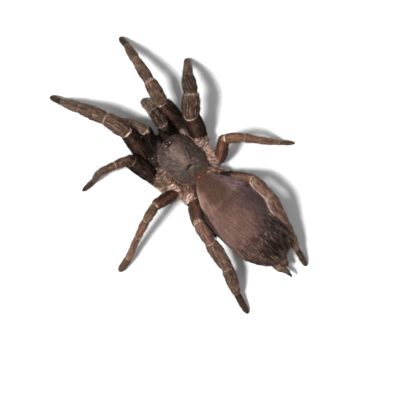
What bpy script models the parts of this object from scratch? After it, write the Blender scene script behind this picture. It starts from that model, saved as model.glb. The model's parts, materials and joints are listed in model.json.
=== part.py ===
"""Tarantula standing still, life size, as a set of separate named solids.

Metres, +Z up.  The head faces -Y, so the animal's right side is at -X.  The origin is on the
floor, at the middle of the bounding box.  Each limb is a chain of tapered oval segments that
are mitred at the joints; the lengths are given once for each pair of limbs, and each limb has
its own headings and rises, which make the standing pose.
"""

import math
from dataclasses import dataclass

import bmesh
import bpy
from mathutils import Matrix, Vector

MM = 0.001
GAP = 0.3 * MM                # clearance kept between neighbouring solids
SIDES = 12                    # corners of a limb's cross-section

# Prosoma: the fused front body.  Its shield is CARAPACE_LENGTH by CARAPACE_WIDTH.
CARAPACE_LENGTH = 18.6 * MM
CARAPACE_WIDTH = 14.2 * MM
CARAPACE_CENTRE_Y = -3.5 * MM
CARAPACE_RIM_Z = 8.6 * MM
CARAPACE_RIM_DEPTH = 0.6 * MM
CARAPACE_DOME = 3.0 * MM      # rise of the thorax above the rim
CAPUT_RISE = 1.0 * MM         # extra rise of the head region
FOVEA_DEPTH = 0.9 * MM
FOVEA_WIDTH = 2.5 * MM
FOVEA_LENGTH = 1.8 * MM
THORAX_ROUNDING = 2.6         # how late the dome falls to the rim
CAPUT_HALF_WIDTH = (1.5 * MM, 3.2 * MM)   # at the pit, and how much more at the front
SQUARENESS_FRONT = 3.0        # exponents of the shield's superellipse outline
SQUARENESS_REAR = 2.8

# Solid centre of the prosoma, from the sternum below to the pleura under the shield:
# height above the sternum, half width, half length (mm).
CORE_STATIONS = ((0.0, 2.5, 3.9), (0.4, 3.3, 4.7), (1.2, 3.6, 5.0), (4.4, 3.6, 5.0),
                 (5.4, 5.3, 5.9), (5.6, 5.3, 5.9))
CORE_CENTRE_Y = -2.9 * MM
CORE_SIDES = 24
STERNUM_Z = 2.7 * MM
COXA_RING_WIDTH = 4.0 * MM    # half axes of the oval on which the coxae begin
COXA_RING_LENGTH = 5.4 * MM
COXA_Z = 4.9 * MM
HIP_Z = 6.2 * MM
PALP_HIP_Z = 6.0 * MM
PEDICEL_FRONT_Z = 6.0 * MM
PEDICEL_REAR_Z = 7.6 * MM
PEDICEL_HEIGHT = 1.6 * MM

# Abdomen stations: distance behind the pedicel, half width, middle height, half height (mm).
ABDOMEN_FRONT_Y = 6.6 * MM
ABDOMEN_SWING = 2.2           # degrees that its rear end leans to the animal's right
ABDOMEN_SIDES = 24
ABDOMEN_STATIONS = (
    (0.0, 1.2, 8.4, 1.2), (0.6, 3.2, 9.9, 2.0), (1.9, 4.9, 11.0, 2.8), (3.4, 5.9, 11.5, 3.6),
    (5.6, 7.3, 11.2, 5.2), (9.0, 9.4, 10.2, 7.3), (14.4, 10.8, 9.7, 8.3), (20.4, 11.2, 9.6, 8.4),
    (25.8, 11.0, 9.4, 8.0), (29.6, 10.3, 9.1, 7.2), (34.0, 8.4, 8.5, 5.8), (37.4, 5.7, 7.7, 3.7),
    (38.8, 2.8, 7.3, 1.7),
)

# Segment lengths for each pair of limbs (mm): femur, patella, tibia, metatarsus, tarsus.
LEG_LENGTHS = {
    1: (14.0, 9.3, 11.2, 9.0, 6.0),
    2: (12.8, 7.6, 8.5, 7.6, 5.6),
    3: (11.3, 6.4, 8.0, 9.8, 6.7),
    4: (13.4, 8.5, 12.4, 11.6, 8.5),
}
PALP_LENGTHS = (8.9, 6.3, 7.6, 5.8)     # femur, patella, tibia, tarsus

FOOT_CENTRE_Z = 0.75 * MM     # height of the middle of each foot's end
FOOT_SINK = 0.12 * MM         # how far a foot's oval dips before its sole is cut flat
TOE_REACH = 0.45 * MM         # how far the toe's brush reaches past the last joint


# Chelicera stations on the left: distance from the pit, offset, middle height, width, height (mm).
JAW_STATIONS = (
    (-13.15, 2.45, 6.0, 3.5, 5.6), (-14.4, 2.6, 5.9, 4.3, 6.4), (-15.8, 2.45, 5.5, 4.2, 5.8),
    (-16.8, 2.15, 5.0, 3.1, 4.4), (-17.3, 2.0, 4.8, 1.5, 2.4),
)
JAW_SIDES = 16
# Fang path on the left, from its base to its point: x, y, z and thickness (mm).
FANG_PATH = ((2.1, -16.2, 1.5, 1.2), (2.0, -15.5, 1.2, 1.3), (1.8, -14.0, 1.1, 1.1),
             (1.5, -12.3, 1.4, 0.85), (1.2, -10.6, 1.9, 0.55))
FANG_SIDES = 10
# Spinneret paths (mm) and the thickness at five places along each of them.
SPINNERET_PATHS = {
    "left": ((2.5, 44.8, 4.6), (2.4, 48.3, 5.2), (1.5, 50.5, 5.4), (1.4, 54.0, 5.0)),
    "right": ((-1.5, 44.9, 4.6), (-1.0, 46.9, 5.6), (-0.6, 48.4, 6.0), (-0.2, 49.8, 6.2)),
}
SPINNERET_THICKNESS = (2.8, 2.5, 2.0, 1.5, 0.6)
SPINNERET_SIDES = 12


@dataclass(frozen=True)
class Limb:
    """A leg or a palp: its bearings, and the width and height of each segment in mm.

    Headings are degrees from straight ahead, positive towards the animal's left; rises are
    degrees above the horizontal.  The last segment's rise is not given: it reaches the floor.
    """

    name: str
    pair: int                 # 1 to 4 for a leg, 0 for a palp
    hip: tuple                # x and y of the joint between trochanter and femur, mm
    ring_angle: float         # where the coxa leaves the body, degrees from straight ahead
    headings: tuple
    rises: tuple
    widths: tuple             # femur, patella, tibia, metatarsus, tarsus
    heights: tuple
    coxa_width: float = 3.9   # at the trochanter, mm
    coxa_bulge: float = 0.0   # how far the trochanter swells towards the rear, mm


LIMBS = (
    Limb("leg_1_right", 1, (-8.1, -11.0), -52, (-3, -15, -12, -12, -6), (34, 22, -32, -45),
         (5.7, 5.3, 4.1, 3.5, 2.4), (4.9, 4.6, 4.2, 3.0, 2.4)),
    Limb("leg_1_left", 1, (8.8, -11.8), 50, (-7, 12, 23, 27, 20), (31, 9, -25, -39),
         (5.5, 5.5, 5.0, 3.8, 2.5), (4.9, 4.6, 4.2, 3.0, 2.4), 4.2, 0.2),
    Limb("leg_2_right", 2, (-10.1, -5.2), -82, (-21, -45, -35, -43, -39), (53, 6, -35, -59),
         (5.8, 6.7, 5.3, 3.7, 2.9), (4.6, 4.6, 3.8, 2.8, 2.2), 5.8, 1.3),
    Limb("leg_2_left", 2, (11.7, -6.1), 80, (10, 70, 66, 97, 88), (33, 25, -56, -63),
         (5.1, 3.4, 2.8, 2.5, 2.0), (4.6, 4.2, 3.6, 2.8, 2.1), 5.6, 2.2),
    Limb("leg_3_right", 3, (-9.3, 6.1), -110, (-54, -131, -141, -141, -136), (47, 14, -43, -45),
         (4.4, 3.7, 3.1, 2.8, 1.9), (4.2, 4.0, 3.3, 2.5, 1.9), 4.8, -1.0),
    Limb("leg_3_left", 3, (10.4, 3.2), 108, (77, 103, 108, 111, 101), (47, -8, -33, -29),
         (4.4, 3.5, 3.0, 2.6, 2.8), (4.2, 4.0, 3.3, 2.5, 2.1), 5.2, -0.9),
    Limb("leg_4_right", 4, (-6.2, 10.6), -143, (-142, -180, 165, 163, 166), (38, 15, -26, -28),
         (4.1, 4.4, 4.8, 3.7, 2.4), (4.2, 4.2, 3.7, 3.0, 2.1)),
    Limb("leg_4_left", 4, (7.9, 10.1), 142, (148, 168, 169, 155, 165), (57, -10, -27, -32),
         (4.8, 4.5, 5.3, 4.6, 2.7), (4.2, 4.2, 3.8, 3.2, 2.1), 5.2, -1.0),
    Limb("palp_right", 0, (-5.2, -12.3), -20, (24, -11, -1, -2), (61, -12, -66),
         (4.2, 4.9, 4.2, 3.6), (3.8, 3.8, 3.5, 3.0), 3.0),
    Limb("palp_left", 0, (5.0, -12.6), 20, (-22, 17, 33, 19), (36, -13, -47),
         (4.1, 4.2, 3.4, 3.0), (3.8, 3.6, 3.4, 2.8), 3.0),
)

# Relative swell of each kind of segment from its near end to its far end: (place, size).
FEMUR_SWELL = ((0.0, 0.82), (0.28, 0.99), (0.62, 1.0), (1.0, 0.88))
PATELLA_SWELL = ((0.0, 0.88), (0.36, 1.0), (0.70, 0.97), (1.0, 0.84))
TIBIA_SWELL = ((0.0, 0.92), (0.34, 1.02), (0.70, 0.94), (1.0, 0.78))
# Coxa rings: place along it, width as a share of the coxa's own, height (mm), share of the bulge.
COXA_RINGS = ((0.0, 0.56, 3.7, 0.0), (0.28, 0.74, 4.1, 0.0), (0.55, 0.90, 4.3, 0.4),
              (0.80, 1.06, 4.3, 1.0), (1.0, 1.0, 4.1, 0.45))
PALP_COXA_RINGS = ((0.0, 0.60, 3.3, 0.0), (0.35, 0.78, 3.5, 0.0), (0.70, 0.92, 3.5, 0.0),
                   (1.0, 1.0, 3.3, 0.0))

EYE_TURRET = (2.8, 1.9)       # width and depth of the eye tubercle, mm
EYE_TURRET_Y = -11.1
EYE_TURRET_RISE = 0.9
EYE_GRID = (18, 10)           # cells across and along the tubercle
# Eyes of the left half: x, y forward of the tubercle's middle, radius (mm); mirrored.
EYES = ((0.36, 0.30, 0.34), (1.02, 0.48, 0.36), (1.08, -0.24, 0.30), (0.62, -0.42, 0.24))

# Where soft neighbours press together, the first solid is hollowed until it clears the others.
YIELDS = (
    ("chelicera_right", ("palp_right_femur",)),
    ("chelicera_left", ("palp_left_femur",)),
    ("carapace", ("palp_right_femur",)),
    ("leg_1_right_coxa", ("palp_right_coxa", "palp_right_femur")),
    ("leg_1_left_coxa", ("palp_left_coxa", "palp_left_femur", "leg_2_left_coxa")),
    ("leg_2_right_coxa", ("sternum",)),
    ("leg_3_right_coxa", ("sternum", "leg_4_right_coxa")),
    ("leg_3_left_coxa", ("sternum", "leg_4_left_coxa", "leg_2_left_coxa")),
    ("leg_1_right_femur", ("palp_right_femur", "palp_right_patella", "palp_right_foot")),
    ("leg_1_right_patella", ("palp_right_patella", "palp_right_foot")),
    ("leg_1_left_femur", ("palp_left_femur", "palp_left_patella")),
    ("abdomen", ("leg_4_right_femur", "leg_4_right_tibia", "leg_4_right_foot",
                 "leg_4_left_femur", "spinneret_left", "spinneret_right")),
)

COLOURS = {
    "shield": (0.085, 0.066, 0.055), "belly": (0.060, 0.042, 0.034), "leg": (0.075, 0.050, 0.038),
    "foot": (0.062, 0.043, 0.034), "abdomen": (0.130, 0.085, 0.070), "fang": (0.012, 0.006, 0.005),
    "eyes": (0.030, 0.022, 0.018), "spinneret": (0.110, 0.075, 0.055),
}


def make_material(name, colour, roughness):
    """Return a Principled material of one colour."""
    material = bpy.data.materials.new(f"mat_{name}")
    material.use_nodes = True
    shader = material.node_tree.nodes["Principled BSDF"]
    shader.inputs["Base Color"].default_value = (*colour, 1.0)
    shader.inputs["Roughness"].default_value = roughness
    shader.inputs["Metallic"].default_value = 0.0
    return material


def add_solid(name, bm, kind, roughness=0.75):
    """Turn a bmesh into a smooth-shaded object with its own material."""
    bmesh.ops.recalc_face_normals(bm, faces=bm.faces)
    mesh = bpy.data.meshes.new(name)
    bm.to_mesh(mesh)
    bm.free()
    mesh.shade_smooth()
    mesh.set_sharp_from_angle(angle=math.radians(40))
    mesh.materials.append(make_material(name, COLOURS[kind], roughness))
    solid = bpy.data.objects.new(name, mesh)
    bpy.context.scene.collection.objects.link(solid)
    return solid


def bearing(heading, rise):
    """Return the unit vector of a heading and a rise in degrees."""
    turn, lift = math.radians(heading), math.radians(rise)
    return Vector((math.sin(turn) * math.cos(lift), -math.cos(turn) * math.cos(lift),
                   math.sin(lift)))


def oval_matrix(centre, along, width, height, cut=None):
    """Return the matrix that lays a unit circle across 'along' as an oval.

    The oval's first axis is level.  'cut' is the normal of a slanted plane through the
    centre: the oval is slid along the segment until it lies in that plane.
    """
    along = along.normalized()
    side = along.cross(Vector((0, 0, 1))).normalized()
    up = side.cross(along)
    side, up = side * width / 2, up * height / 2
    if cut is not None:
        side -= along * side.dot(cut) / along.dot(cut)
        up -= along * up.dot(cut) / along.dot(cut)
    matrix = Matrix((side, up, along)).transposed().to_4x4()
    matrix.translation = centre
    return matrix


def loft(matrices, sides=SIDES):
    """Return a closed bmesh through a row of ovals, its ends filled flat."""
    bm = bmesh.new()
    turn = Matrix.Rotation(math.pi / sides, 4, "Z")
    grow = 1 / math.cos(math.pi / sides) ** 0.5      # keeps the oval's area
    rings = [
        bmesh.ops.create_circle(bm, segments=sides, radius=grow, matrix=matrix @ turn)["verts"]
        for matrix in matrices
    ]
    for near, far in zip(rings, rings[1:]):
        for i in range(sides):
            j = (i + 1) % sides
            bm.faces.new((near[i], near[j], far[j], far[i]))
    for ring in (rings[0], rings[-1]):
        bm.faces.new(ring)
    return bm


def segment_ovals(start, end, swell, width, height, cut_in, cut_out, start_gap=True):
    """Return the ovals of one limb segment whose two ends are mitred."""
    along = (end - start).normalized()
    inset = GAP / 2
    near = start + along * inset / along.dot(cut_in) if start_gap else start
    far = end - along * inset / along.dot(cut_out)
    ovals = []
    for place, size in swell:
        cut = cut_in if place == 0 else cut_out if place == 1 else None
        centre = near.lerp(far, place)
        ovals.append(oval_matrix(centre, along, width * size, height * size, cut))
    return ovals


def halfway(before, after):
    """Return the normal of the plane that halves the bend between two directions."""
    return (before.normalized() + after.normalized()).normalized()


def coxa_start(limb):
    """Return where a limb's coxa leaves the body."""
    angle = math.radians(limb.ring_angle)
    return Vector((COXA_RING_WIDTH * math.sin(angle),
                   CORE_CENTRE_Y - COXA_RING_LENGTH * math.cos(angle), COXA_Z))


def limb_joints(limb):
    """Return the joints of a limb, from its hip to the middle of its foot's end."""
    lengths = PALP_LENGTHS if limb.pair == 0 else LEG_LENGTHS[limb.pair]
    hip_z = PALP_HIP_Z if limb.pair == 0 else HIP_Z
    joints = [Vector((limb.hip[0] * MM, limb.hip[1] * MM, hip_z))]
    for heading, rise, length in zip(limb.headings, limb.rises, lengths):
        joints.append(joints[-1] + bearing(heading, rise) * length * MM)
    last = lengths[-1] * MM
    drop = (FOOT_CENTRE_Z - joints[-1].z) / last
    last_rise = math.degrees(math.asin(max(-0.98, min(0.98, drop))))
    joints.append(joints[-1] + bearing(limb.headings[-1], last_rise) * last)
    return joints


def foot_solid(limb, joints, cut_in):
    """Return the bmesh of the last two segments in one piece, its sole cut flat at z = 0."""
    knee, ankle, tip = joints[-3:]
    (w1, h1), (w2, h2) = zip(limb.widths[-2:], limb.heights[-2:])
    w1, h1, w2, h2 = (v * MM for v in (w1, h1, w2, h2))
    upper, lower = ankle - knee, tip - ankle
    start = knee + upper.normalized() * GAP / 2 / upper.normalized().dot(cut_in)
    bend = halfway(upper, lower)
    sole = 2 * (FOOT_CENTRE_Z + FOOT_SINK)
    end = tip + lower.normalized() * TOE_REACH
    ovals = [
        oval_matrix(start, upper, w1, h1 * 0.92, cut_in),
        oval_matrix(start.lerp(ankle, 0.30), upper, w1 * 1.02, h1),
        oval_matrix(start.lerp(ankle, 0.68), upper, w1 * 0.90, h1 * 0.90),
        oval_matrix(ankle, upper, w2, h2, bend),
        oval_matrix(ankle.lerp(tip, 0.42), lower, w2 * 1.02, h2),
        oval_matrix(ankle.lerp(tip, 0.80), lower, w2 * 0.98, max(h2 * 0.88, sole)),
        oval_matrix(ankle.lerp(tip, 0.98), Vector((lower.x, lower.y, 0)), w2 * 0.80, sole),
        oval_matrix(end, Vector((lower.x, lower.y, 0)), w2 * 0.42, sole * 0.62),
    ]
    bm = loft(ovals)
    for vert in bm.verts:
        vert.co.z = max(vert.co.z, 0.0)
    return bm


def add_limb(limb):
    """Build the coxa, femur, patella, tibia and foot of one limb."""
    joints = limb_joints(limb)
    start = coxa_start(limb)
    way = [joints[0] - start] + [b - a for a, b in zip(joints, joints[1:])]
    cuts = [halfway(a, b) for a, b in zip(way, way[1:])]
    rings = PALP_COXA_RINGS if limb.pair == 0 else COXA_RINGS
    along = way[0].normalized()
    hip_end = joints[0] - along * GAP / 2 / along.dot(cuts[0])
    rearward = Vector((-along.y, along.x, 0)) * (1 if limb.hip[0] > 0 else -1)
    coxa = [
        oval_matrix(start.lerp(hip_end, place) + rearward * limb.coxa_bulge * bulge * MM,
                    along, limb.coxa_width * share * MM, height * MM,
                    cuts[0] if place == 1 else None)
        for place, share, height, bulge in rings
    ]
    add_solid(f"{limb.name}_coxa", loft(coxa), "belly")
    parts = [("femur", FEMUR_SWELL), ("patella", PATELLA_SWELL)]
    if limb.pair:
        parts.append(("tibia", TIBIA_SWELL))
    for i, (part, swell) in enumerate(parts):
        ovals = segment_ovals(joints[i], joints[i + 1], swell, limb.widths[i] * MM,
                              limb.heights[i] * MM, cuts[i], cuts[i + 1])
        add_solid(f"{limb.name}_{part}", loft(ovals), "leg")
    add_solid(f"{limb.name}_foot", foot_solid(limb, joints, cuts[len(parts)]), "foot")


def shield_outline(angle):
    """Return the outline point of the shield at an angle from straight ahead."""
    squareness = SQUARENESS_FRONT if math.cos(angle) > 0 else SQUARENESS_REAR
    a, b = abs(math.sin(angle)), abs(math.cos(angle))
    reach = (a ** squareness + b ** squareness) ** (-1 / squareness)
    return Vector((reach * math.sin(angle) * CARAPACE_WIDTH / 2,
                   CARAPACE_CENTRE_Y - reach * math.cos(angle) * CARAPACE_LENGTH / 2, 0))


def shield_place(x, y):
    """Return where a point lies on the shield, from 0 in the middle to 1 at the rim."""
    ahead = (CARAPACE_CENTRE_Y - y) / (CARAPACE_LENGTH / 2)
    squareness = SQUARENESS_FRONT if ahead > 0 else SQUARENESS_REAR
    across = abs(x) / (CARAPACE_WIDTH / 2)
    return (across ** squareness + abs(ahead) ** squareness) ** (1 / squareness)


def shield_height(x, y):
    """Return the height of the shield's top."""
    place = min(1.0, shield_place(x, y))
    dome = CARAPACE_DOME * (1 - place ** THORAX_ROUNDING)
    forward = max(0.0, min(1.0, (-y + 0.5 * MM) / (10 * MM)))
    half = CAPUT_HALF_WIDTH[0] + CAPUT_HALF_WIDTH[1] * forward
    caput = CAPUT_RISE * forward ** 0.7 * math.exp(-((x / half) ** 4)) * (1 - place ** 4)
    pit = math.exp(-((2 * x / FOVEA_WIDTH) ** 4 + (2 * y / FOVEA_LENGTH) ** 2))
    return CARAPACE_RIM_Z + CARAPACE_RIM_DEPTH + dome + caput - FOVEA_DEPTH * pit


def add_carapace():
    """Build the shield: a dome over a flat underside."""
    bm = bmesh.new()
    around, places = 44, (1.0, 0.95, 0.86, 0.72, 0.54, 0.35, 0.18)
    centre = Vector((0, CARAPACE_CENTRE_Y, 0))
    rings = []
    for place in places:
        ring = []
        for i in range(around):
            point = centre.lerp(shield_outline(2 * math.pi * i / around), place)
            point.z = shield_height(point.x, point.y)
            ring.append(bm.verts.new(point))
        rings.append(ring)
    under = []
    for vert in rings[0]:
        point = centre.lerp(vert.co, 0.97)
        point.z = CARAPACE_RIM_Z
        under.append(bm.verts.new(point))
    rings.insert(0, under)
    for outer, inner in zip(rings, rings[1:]):
        for i in range(around):
            j = (i + 1) % around
            bm.faces.new((outer[i], outer[j], inner[j], inner[i]))
    bm.faces.new(under)
    top = bm.verts.new((0, CARAPACE_CENTRE_Y, shield_height(0, CARAPACE_CENTRE_Y)))
    for i in range(around):
        bm.faces.new((rings[-1][i], rings[-1][(i + 1) % around], top))
    add_solid("carapace", bm, "shield")


def add_core():
    """Build the solid centre of the prosoma, whose rounded underside is the sternum."""
    bm = bmesh.new()
    rings = []
    for rise, half_width, half_length in CORE_STATIONS:
        matrix = Matrix.Translation((0, CORE_CENTRE_Y, STERNUM_Z + rise * MM)) @ Matrix.Diagonal(
            (half_width * MM, half_length * MM, 1, 1))
        ring = bmesh.ops.create_circle(bm, segments=CORE_SIDES, radius=1, matrix=matrix)
        rings.append(ring["verts"])
    for near, far in zip(rings, rings[1:]):
        for i in range(CORE_SIDES):
            j = (i + 1) % CORE_SIDES
            bm.faces.new((near[i], near[j], far[j], far[i]))
    bm.faces.new(rings[0])
    bm.faces.new(rings[-1])
    add_solid("sternum", bm, "belly")


def add_abdomen():
    """Build the abdomen, the pedicel in front of it and the spinnerets behind it."""
    back = Vector((0, 1, 0))
    front = Vector((0, ABDOMEN_FRONT_Y, 0))
    swing = Matrix.Rotation(math.radians(ABDOMEN_SWING), 3, "Z")
    ovals = [
        oval_matrix(front + swing @ Vector((0, y, z)) * MM, swing @ back, 2 * w * MM, 2 * h * MM)
        for y, w, z, h in ABDOMEN_STATIONS
    ]
    add_solid("abdomen", loft(ovals, ABDOMEN_SIDES), "abdomen", 0.6)
    core_half_length = CORE_STATIONS[3][2] * MM
    start = Vector((0, CORE_CENTRE_Y + core_half_length + GAP, PEDICEL_FRONT_Z))
    end = Vector((0, ABDOMEN_FRONT_Y - GAP, PEDICEL_REAR_Z))
    pedicel = [oval_matrix(start.lerp(end, t), back, w * MM, PEDICEL_HEIGHT)
               for t, w in ((0, 2.2), (0.5, 1.9), (1, 2.4))]
    add_solid("pedicel", loft(pedicel), "belly")
    for side, points in SPINNERET_PATHS.items():
        add_spinneret(f"spinneret_{side}", [Vector(point) * MM for point in points])


def add_spinneret(name, path):
    """Build one jointed spinneret that ends in a blunt point."""
    base, lower, upper, slender, point = (thick * MM for thick in SPINNERET_THICKNESS)
    last = path[3] - path[2]
    rings = [oval_matrix(path[0], path[1] - path[0], base, base)]
    for i, thick in ((1, lower), (2, upper)):
        before, after = path[i] - path[i - 1], path[i + 1] - path[i]
        rings.append(oval_matrix(path[i], before, thick, thick, halfway(before, after)))
    rings.append(oval_matrix(path[2].lerp(path[3], 0.6), last, slender, slender))
    rings.append(oval_matrix(path[3], last, point, point))
    add_solid(name, loft(rings, SPINNERET_SIDES), "spinneret")


def add_jaws():
    """Build the two chelicerae and the fangs folded back under them."""
    ahead = Vector((0, -1, 0))
    for side, name in ((-1, "right"), (1, "left")):
        ovals = [oval_matrix(Vector((side * x, y, z)) * MM, ahead, wide * MM, high * MM)
                 for y, x, z, wide, high in JAW_STATIONS]
        add_solid(f"chelicera_{name}", loft(ovals, JAW_SIDES), "shield")
        points = [Vector((side * x, y, z)) * MM for x, y, z, _ in FANG_PATH]
        steps = [after - before for before, after in zip(points, points[1:])]
        ways = [before + after for before, after in zip(steps[:1] + steps, steps + steps[-1:])]
        rings = [oval_matrix(point, way, thick * MM, thick * MM)
                 for point, way, (*_, thick) in zip(points, ways, FANG_PATH)]
        add_solid(f"fang_{name}", loft(rings, FANG_SIDES), "fang", 0.25)


def add_eyes():
    """Build the eye tubercle with its eight eyes as one low solid on the shield."""
    wide, deep = EYE_TURRET
    across, along = EYE_GRID
    bm = bmesh.new()
    grid, floor = [], []
    for j in range(along + 1):
        for i in range(across + 1):
            u, v = 2 * i / across - 1, 2 * j / along - 1
            x, y = wide / 2 * u * (1 - v * v / 2) ** 0.5, deep / 2 * v * (1 - u * u / 2) ** 0.5
            base = (shield_height(x * MM, (EYE_TURRET_Y - y) * MM) + 0.7 * GAP) / MM
            bulge = max(0.0, 1 - abs(2 * x / wide) ** 3 - abs(2 * y / deep) ** 3)
            rise = 0.12 + EYE_TURRET_RISE * bulge ** 0.5
            for ex, ey, radius in EYES:
                near = radius ** 2 - (abs(x) - ex) ** 2 - (y - ey) ** 2
                if near > 0:
                    rise = max(rise, 0.62 + near ** 0.5)
            place = Vector((x * MM, (EYE_TURRET_Y - y) * MM, (base + rise) * MM))
            grid.append(bm.verts.new(place))
            floor.append(bm.verts.new((place.x, place.y, base * MM)))
    row = across + 1
    for j in range(along):
        for i in range(across):
            k = j * row + i
            bm.faces.new((grid[k], grid[k + 1], grid[k + row + 1], grid[k + row]))
            bm.faces.new((floor[k], floor[k + row], floor[k + row + 1], floor[k + 1]))
    rim = ([i for i in range(row)] + [j * row + across for j in range(1, along + 1)]
           + [along * row + i for i in range(across - 1, -1, -1)]
           + [j * row for j in range(along - 1, 0, -1)])
    for a, b in zip(rim, rim[1:] + rim[:1]):
        bm.faces.new((grid[a], floor[a], floor[b], grid[b]))
    add_solid("eye_tubercle", bm, "eyes", 0.3)


def carve(target, neighbour):
    """Hollow one solid so that it clears a neighbour by about GAP."""
    bm = bmesh.new()
    bm.from_mesh(neighbour.data)
    for vert in bm.verts:
        vert.co += vert.normal * GAP * 1.2
    mesh = bpy.data.meshes.new(f"cutter_{neighbour.name}")
    bm.to_mesh(mesh)
    bm.free()
    cutter = bpy.data.objects.new(f"cutter_{target.name}_{neighbour.name}", mesh)
    bpy.context.scene.collection.objects.link(cutter)
    cutter.hide_render = True
    cutter.display_type = "WIRE"
    cut = target.modifiers.new(f"clear_{neighbour.name}", "BOOLEAN")
    cut.operation = "DIFFERENCE"
    cut.solver = "EXACT"
    cut.object = cutter


def settle():
    """Move the whole animal so that its box is centred on the origin and stands on z = 0."""
    everything = list(bpy.data.objects)
    points = [vert.co for thing in everything if not thing.hide_render
              for vert in thing.data.vertices]
    shift = Vector((-(min(p.x for p in points) + max(p.x for p in points)) / 2,
                    -(min(p.y for p in points) + max(p.y for p in points)) / 2, 0))
    for thing in everything:
        thing.data.transform(Matrix.Translation(shift))
    print("shift to the origin (mm)", [round(c / MM, 2) for c in shift])


def main():
    """Build every solid of the animal, clear the crowded ones and centre it."""
    for thing in list(bpy.data.objects):
        bpy.data.objects.remove(thing, do_unlink=True)
    add_core()
    add_carapace()
    add_eyes()
    add_jaws()
    add_abdomen()
    for limb in LIMBS:
        add_limb(limb)
    for yielding, neighbours in YIELDS:
        for neighbour in neighbours:
            carve(bpy.data.objects[yielding], bpy.data.objects[neighbour])
    settle()


if __name__ == "__main__":
    main()
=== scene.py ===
"""A life-size tarantula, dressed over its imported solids.

One skin replaces the flesh of the solids, a hard shield covers the front body, and the eyes, fangs
and claws are separate glossy pieces.  The coat is made of solid tufts of hair whose roots lie on the
skin.  Lengths are metres, +Z is up and the head faces -Y, so the animal's right side is at -X.
"""

import json
import logging
import math
from dataclasses import dataclass, field, fields, replace
from enum import Enum

import bmesh
import bpy
import numpy as np
from bmesh.types import BMesh, BMVert
from bpy.types import Material, Mesh, Node, NodeSocket, NodeTree, Object
from mathutils import Matrix, Vector
from mathutils.bvhtree import BVHTree
from mathutils.kdtree import KDTree

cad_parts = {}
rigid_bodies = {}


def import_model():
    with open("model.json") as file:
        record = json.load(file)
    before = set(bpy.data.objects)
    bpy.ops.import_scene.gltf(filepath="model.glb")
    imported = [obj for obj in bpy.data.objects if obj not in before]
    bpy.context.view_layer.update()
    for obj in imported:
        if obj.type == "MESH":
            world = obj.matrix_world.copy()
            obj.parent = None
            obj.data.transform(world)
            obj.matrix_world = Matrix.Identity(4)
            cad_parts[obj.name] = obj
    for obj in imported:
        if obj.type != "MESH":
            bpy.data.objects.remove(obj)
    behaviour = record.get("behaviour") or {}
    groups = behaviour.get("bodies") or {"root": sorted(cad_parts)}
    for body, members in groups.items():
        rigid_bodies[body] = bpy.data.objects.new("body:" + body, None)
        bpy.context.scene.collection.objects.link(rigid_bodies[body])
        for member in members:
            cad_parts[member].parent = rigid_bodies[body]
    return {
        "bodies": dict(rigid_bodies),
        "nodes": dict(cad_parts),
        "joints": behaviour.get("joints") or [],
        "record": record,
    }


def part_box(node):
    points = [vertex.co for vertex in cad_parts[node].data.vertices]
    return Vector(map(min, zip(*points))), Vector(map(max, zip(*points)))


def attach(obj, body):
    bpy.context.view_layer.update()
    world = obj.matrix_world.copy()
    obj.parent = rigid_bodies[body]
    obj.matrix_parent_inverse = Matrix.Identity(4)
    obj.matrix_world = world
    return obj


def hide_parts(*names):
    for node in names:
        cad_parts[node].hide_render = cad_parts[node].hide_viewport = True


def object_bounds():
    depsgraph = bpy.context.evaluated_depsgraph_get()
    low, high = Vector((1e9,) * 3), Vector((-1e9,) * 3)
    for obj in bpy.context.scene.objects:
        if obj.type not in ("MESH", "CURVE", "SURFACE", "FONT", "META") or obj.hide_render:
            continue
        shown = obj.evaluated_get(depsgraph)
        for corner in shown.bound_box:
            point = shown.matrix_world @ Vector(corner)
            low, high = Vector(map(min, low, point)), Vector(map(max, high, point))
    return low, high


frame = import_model()
cad_bounds = [list(corner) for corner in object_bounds()]

log = logging.getLogger("tarantula")
Array = np.ndarray
MM = 0.001
UP = np.array((0.0, 0.0, 1.0))

# ---- body plan, as in the solids (mm) ----
CORE_CENTRE_Y = -2.9
COXA_RING = (4.0, 5.4)             # half axes of the oval on which the coxae begin
COXA_Z = 4.9
HIP_Z = {True: 6.0, False: 6.2}    # of a palp, and of a leg
FOOT_CENTRE_Z = 0.75
SOLE = 1.74                        # height of a foot's oval above its flat sole
SHIELD_CENTRE_Y = -3.5
SHIELD_SIZE = (14.2, 18.6)
SHIELD_RIM_Z = 8.6
SHIELD_RIM_DEPTH = 0.6
SHIELD_DOME = 3.0
CAPUT_RISE = 1.0
SQUARENESS = (3.0, 2.8)            # of the shield's outline, in front and behind
ABDOMEN_FRONT_Y = 6.6
ABDOMEN_SWING = math.radians(2.2)
# Distance behind the pedicel, half width, middle height, half height.
ABDOMEN_STATIONS = (
    (0.0, 1.2, 8.4, 1.2), (0.6, 3.2, 9.9, 2.0), (1.9, 4.9, 11.0, 2.8), (3.4, 5.9, 11.5, 3.6),
    (5.6, 7.3, 11.2, 5.2), (9.0, 9.4, 10.2, 7.3), (14.4, 10.8, 9.7, 8.3), (20.4, 11.2, 9.6, 8.4),
    (25.8, 11.0, 9.4, 8.0), (29.6, 10.3, 9.1, 7.2), (34.0, 8.4, 8.5, 5.8), (37.4, 5.7, 7.7, 3.7),
    (38.8, 2.8, 7.3, 1.7),
)
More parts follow.
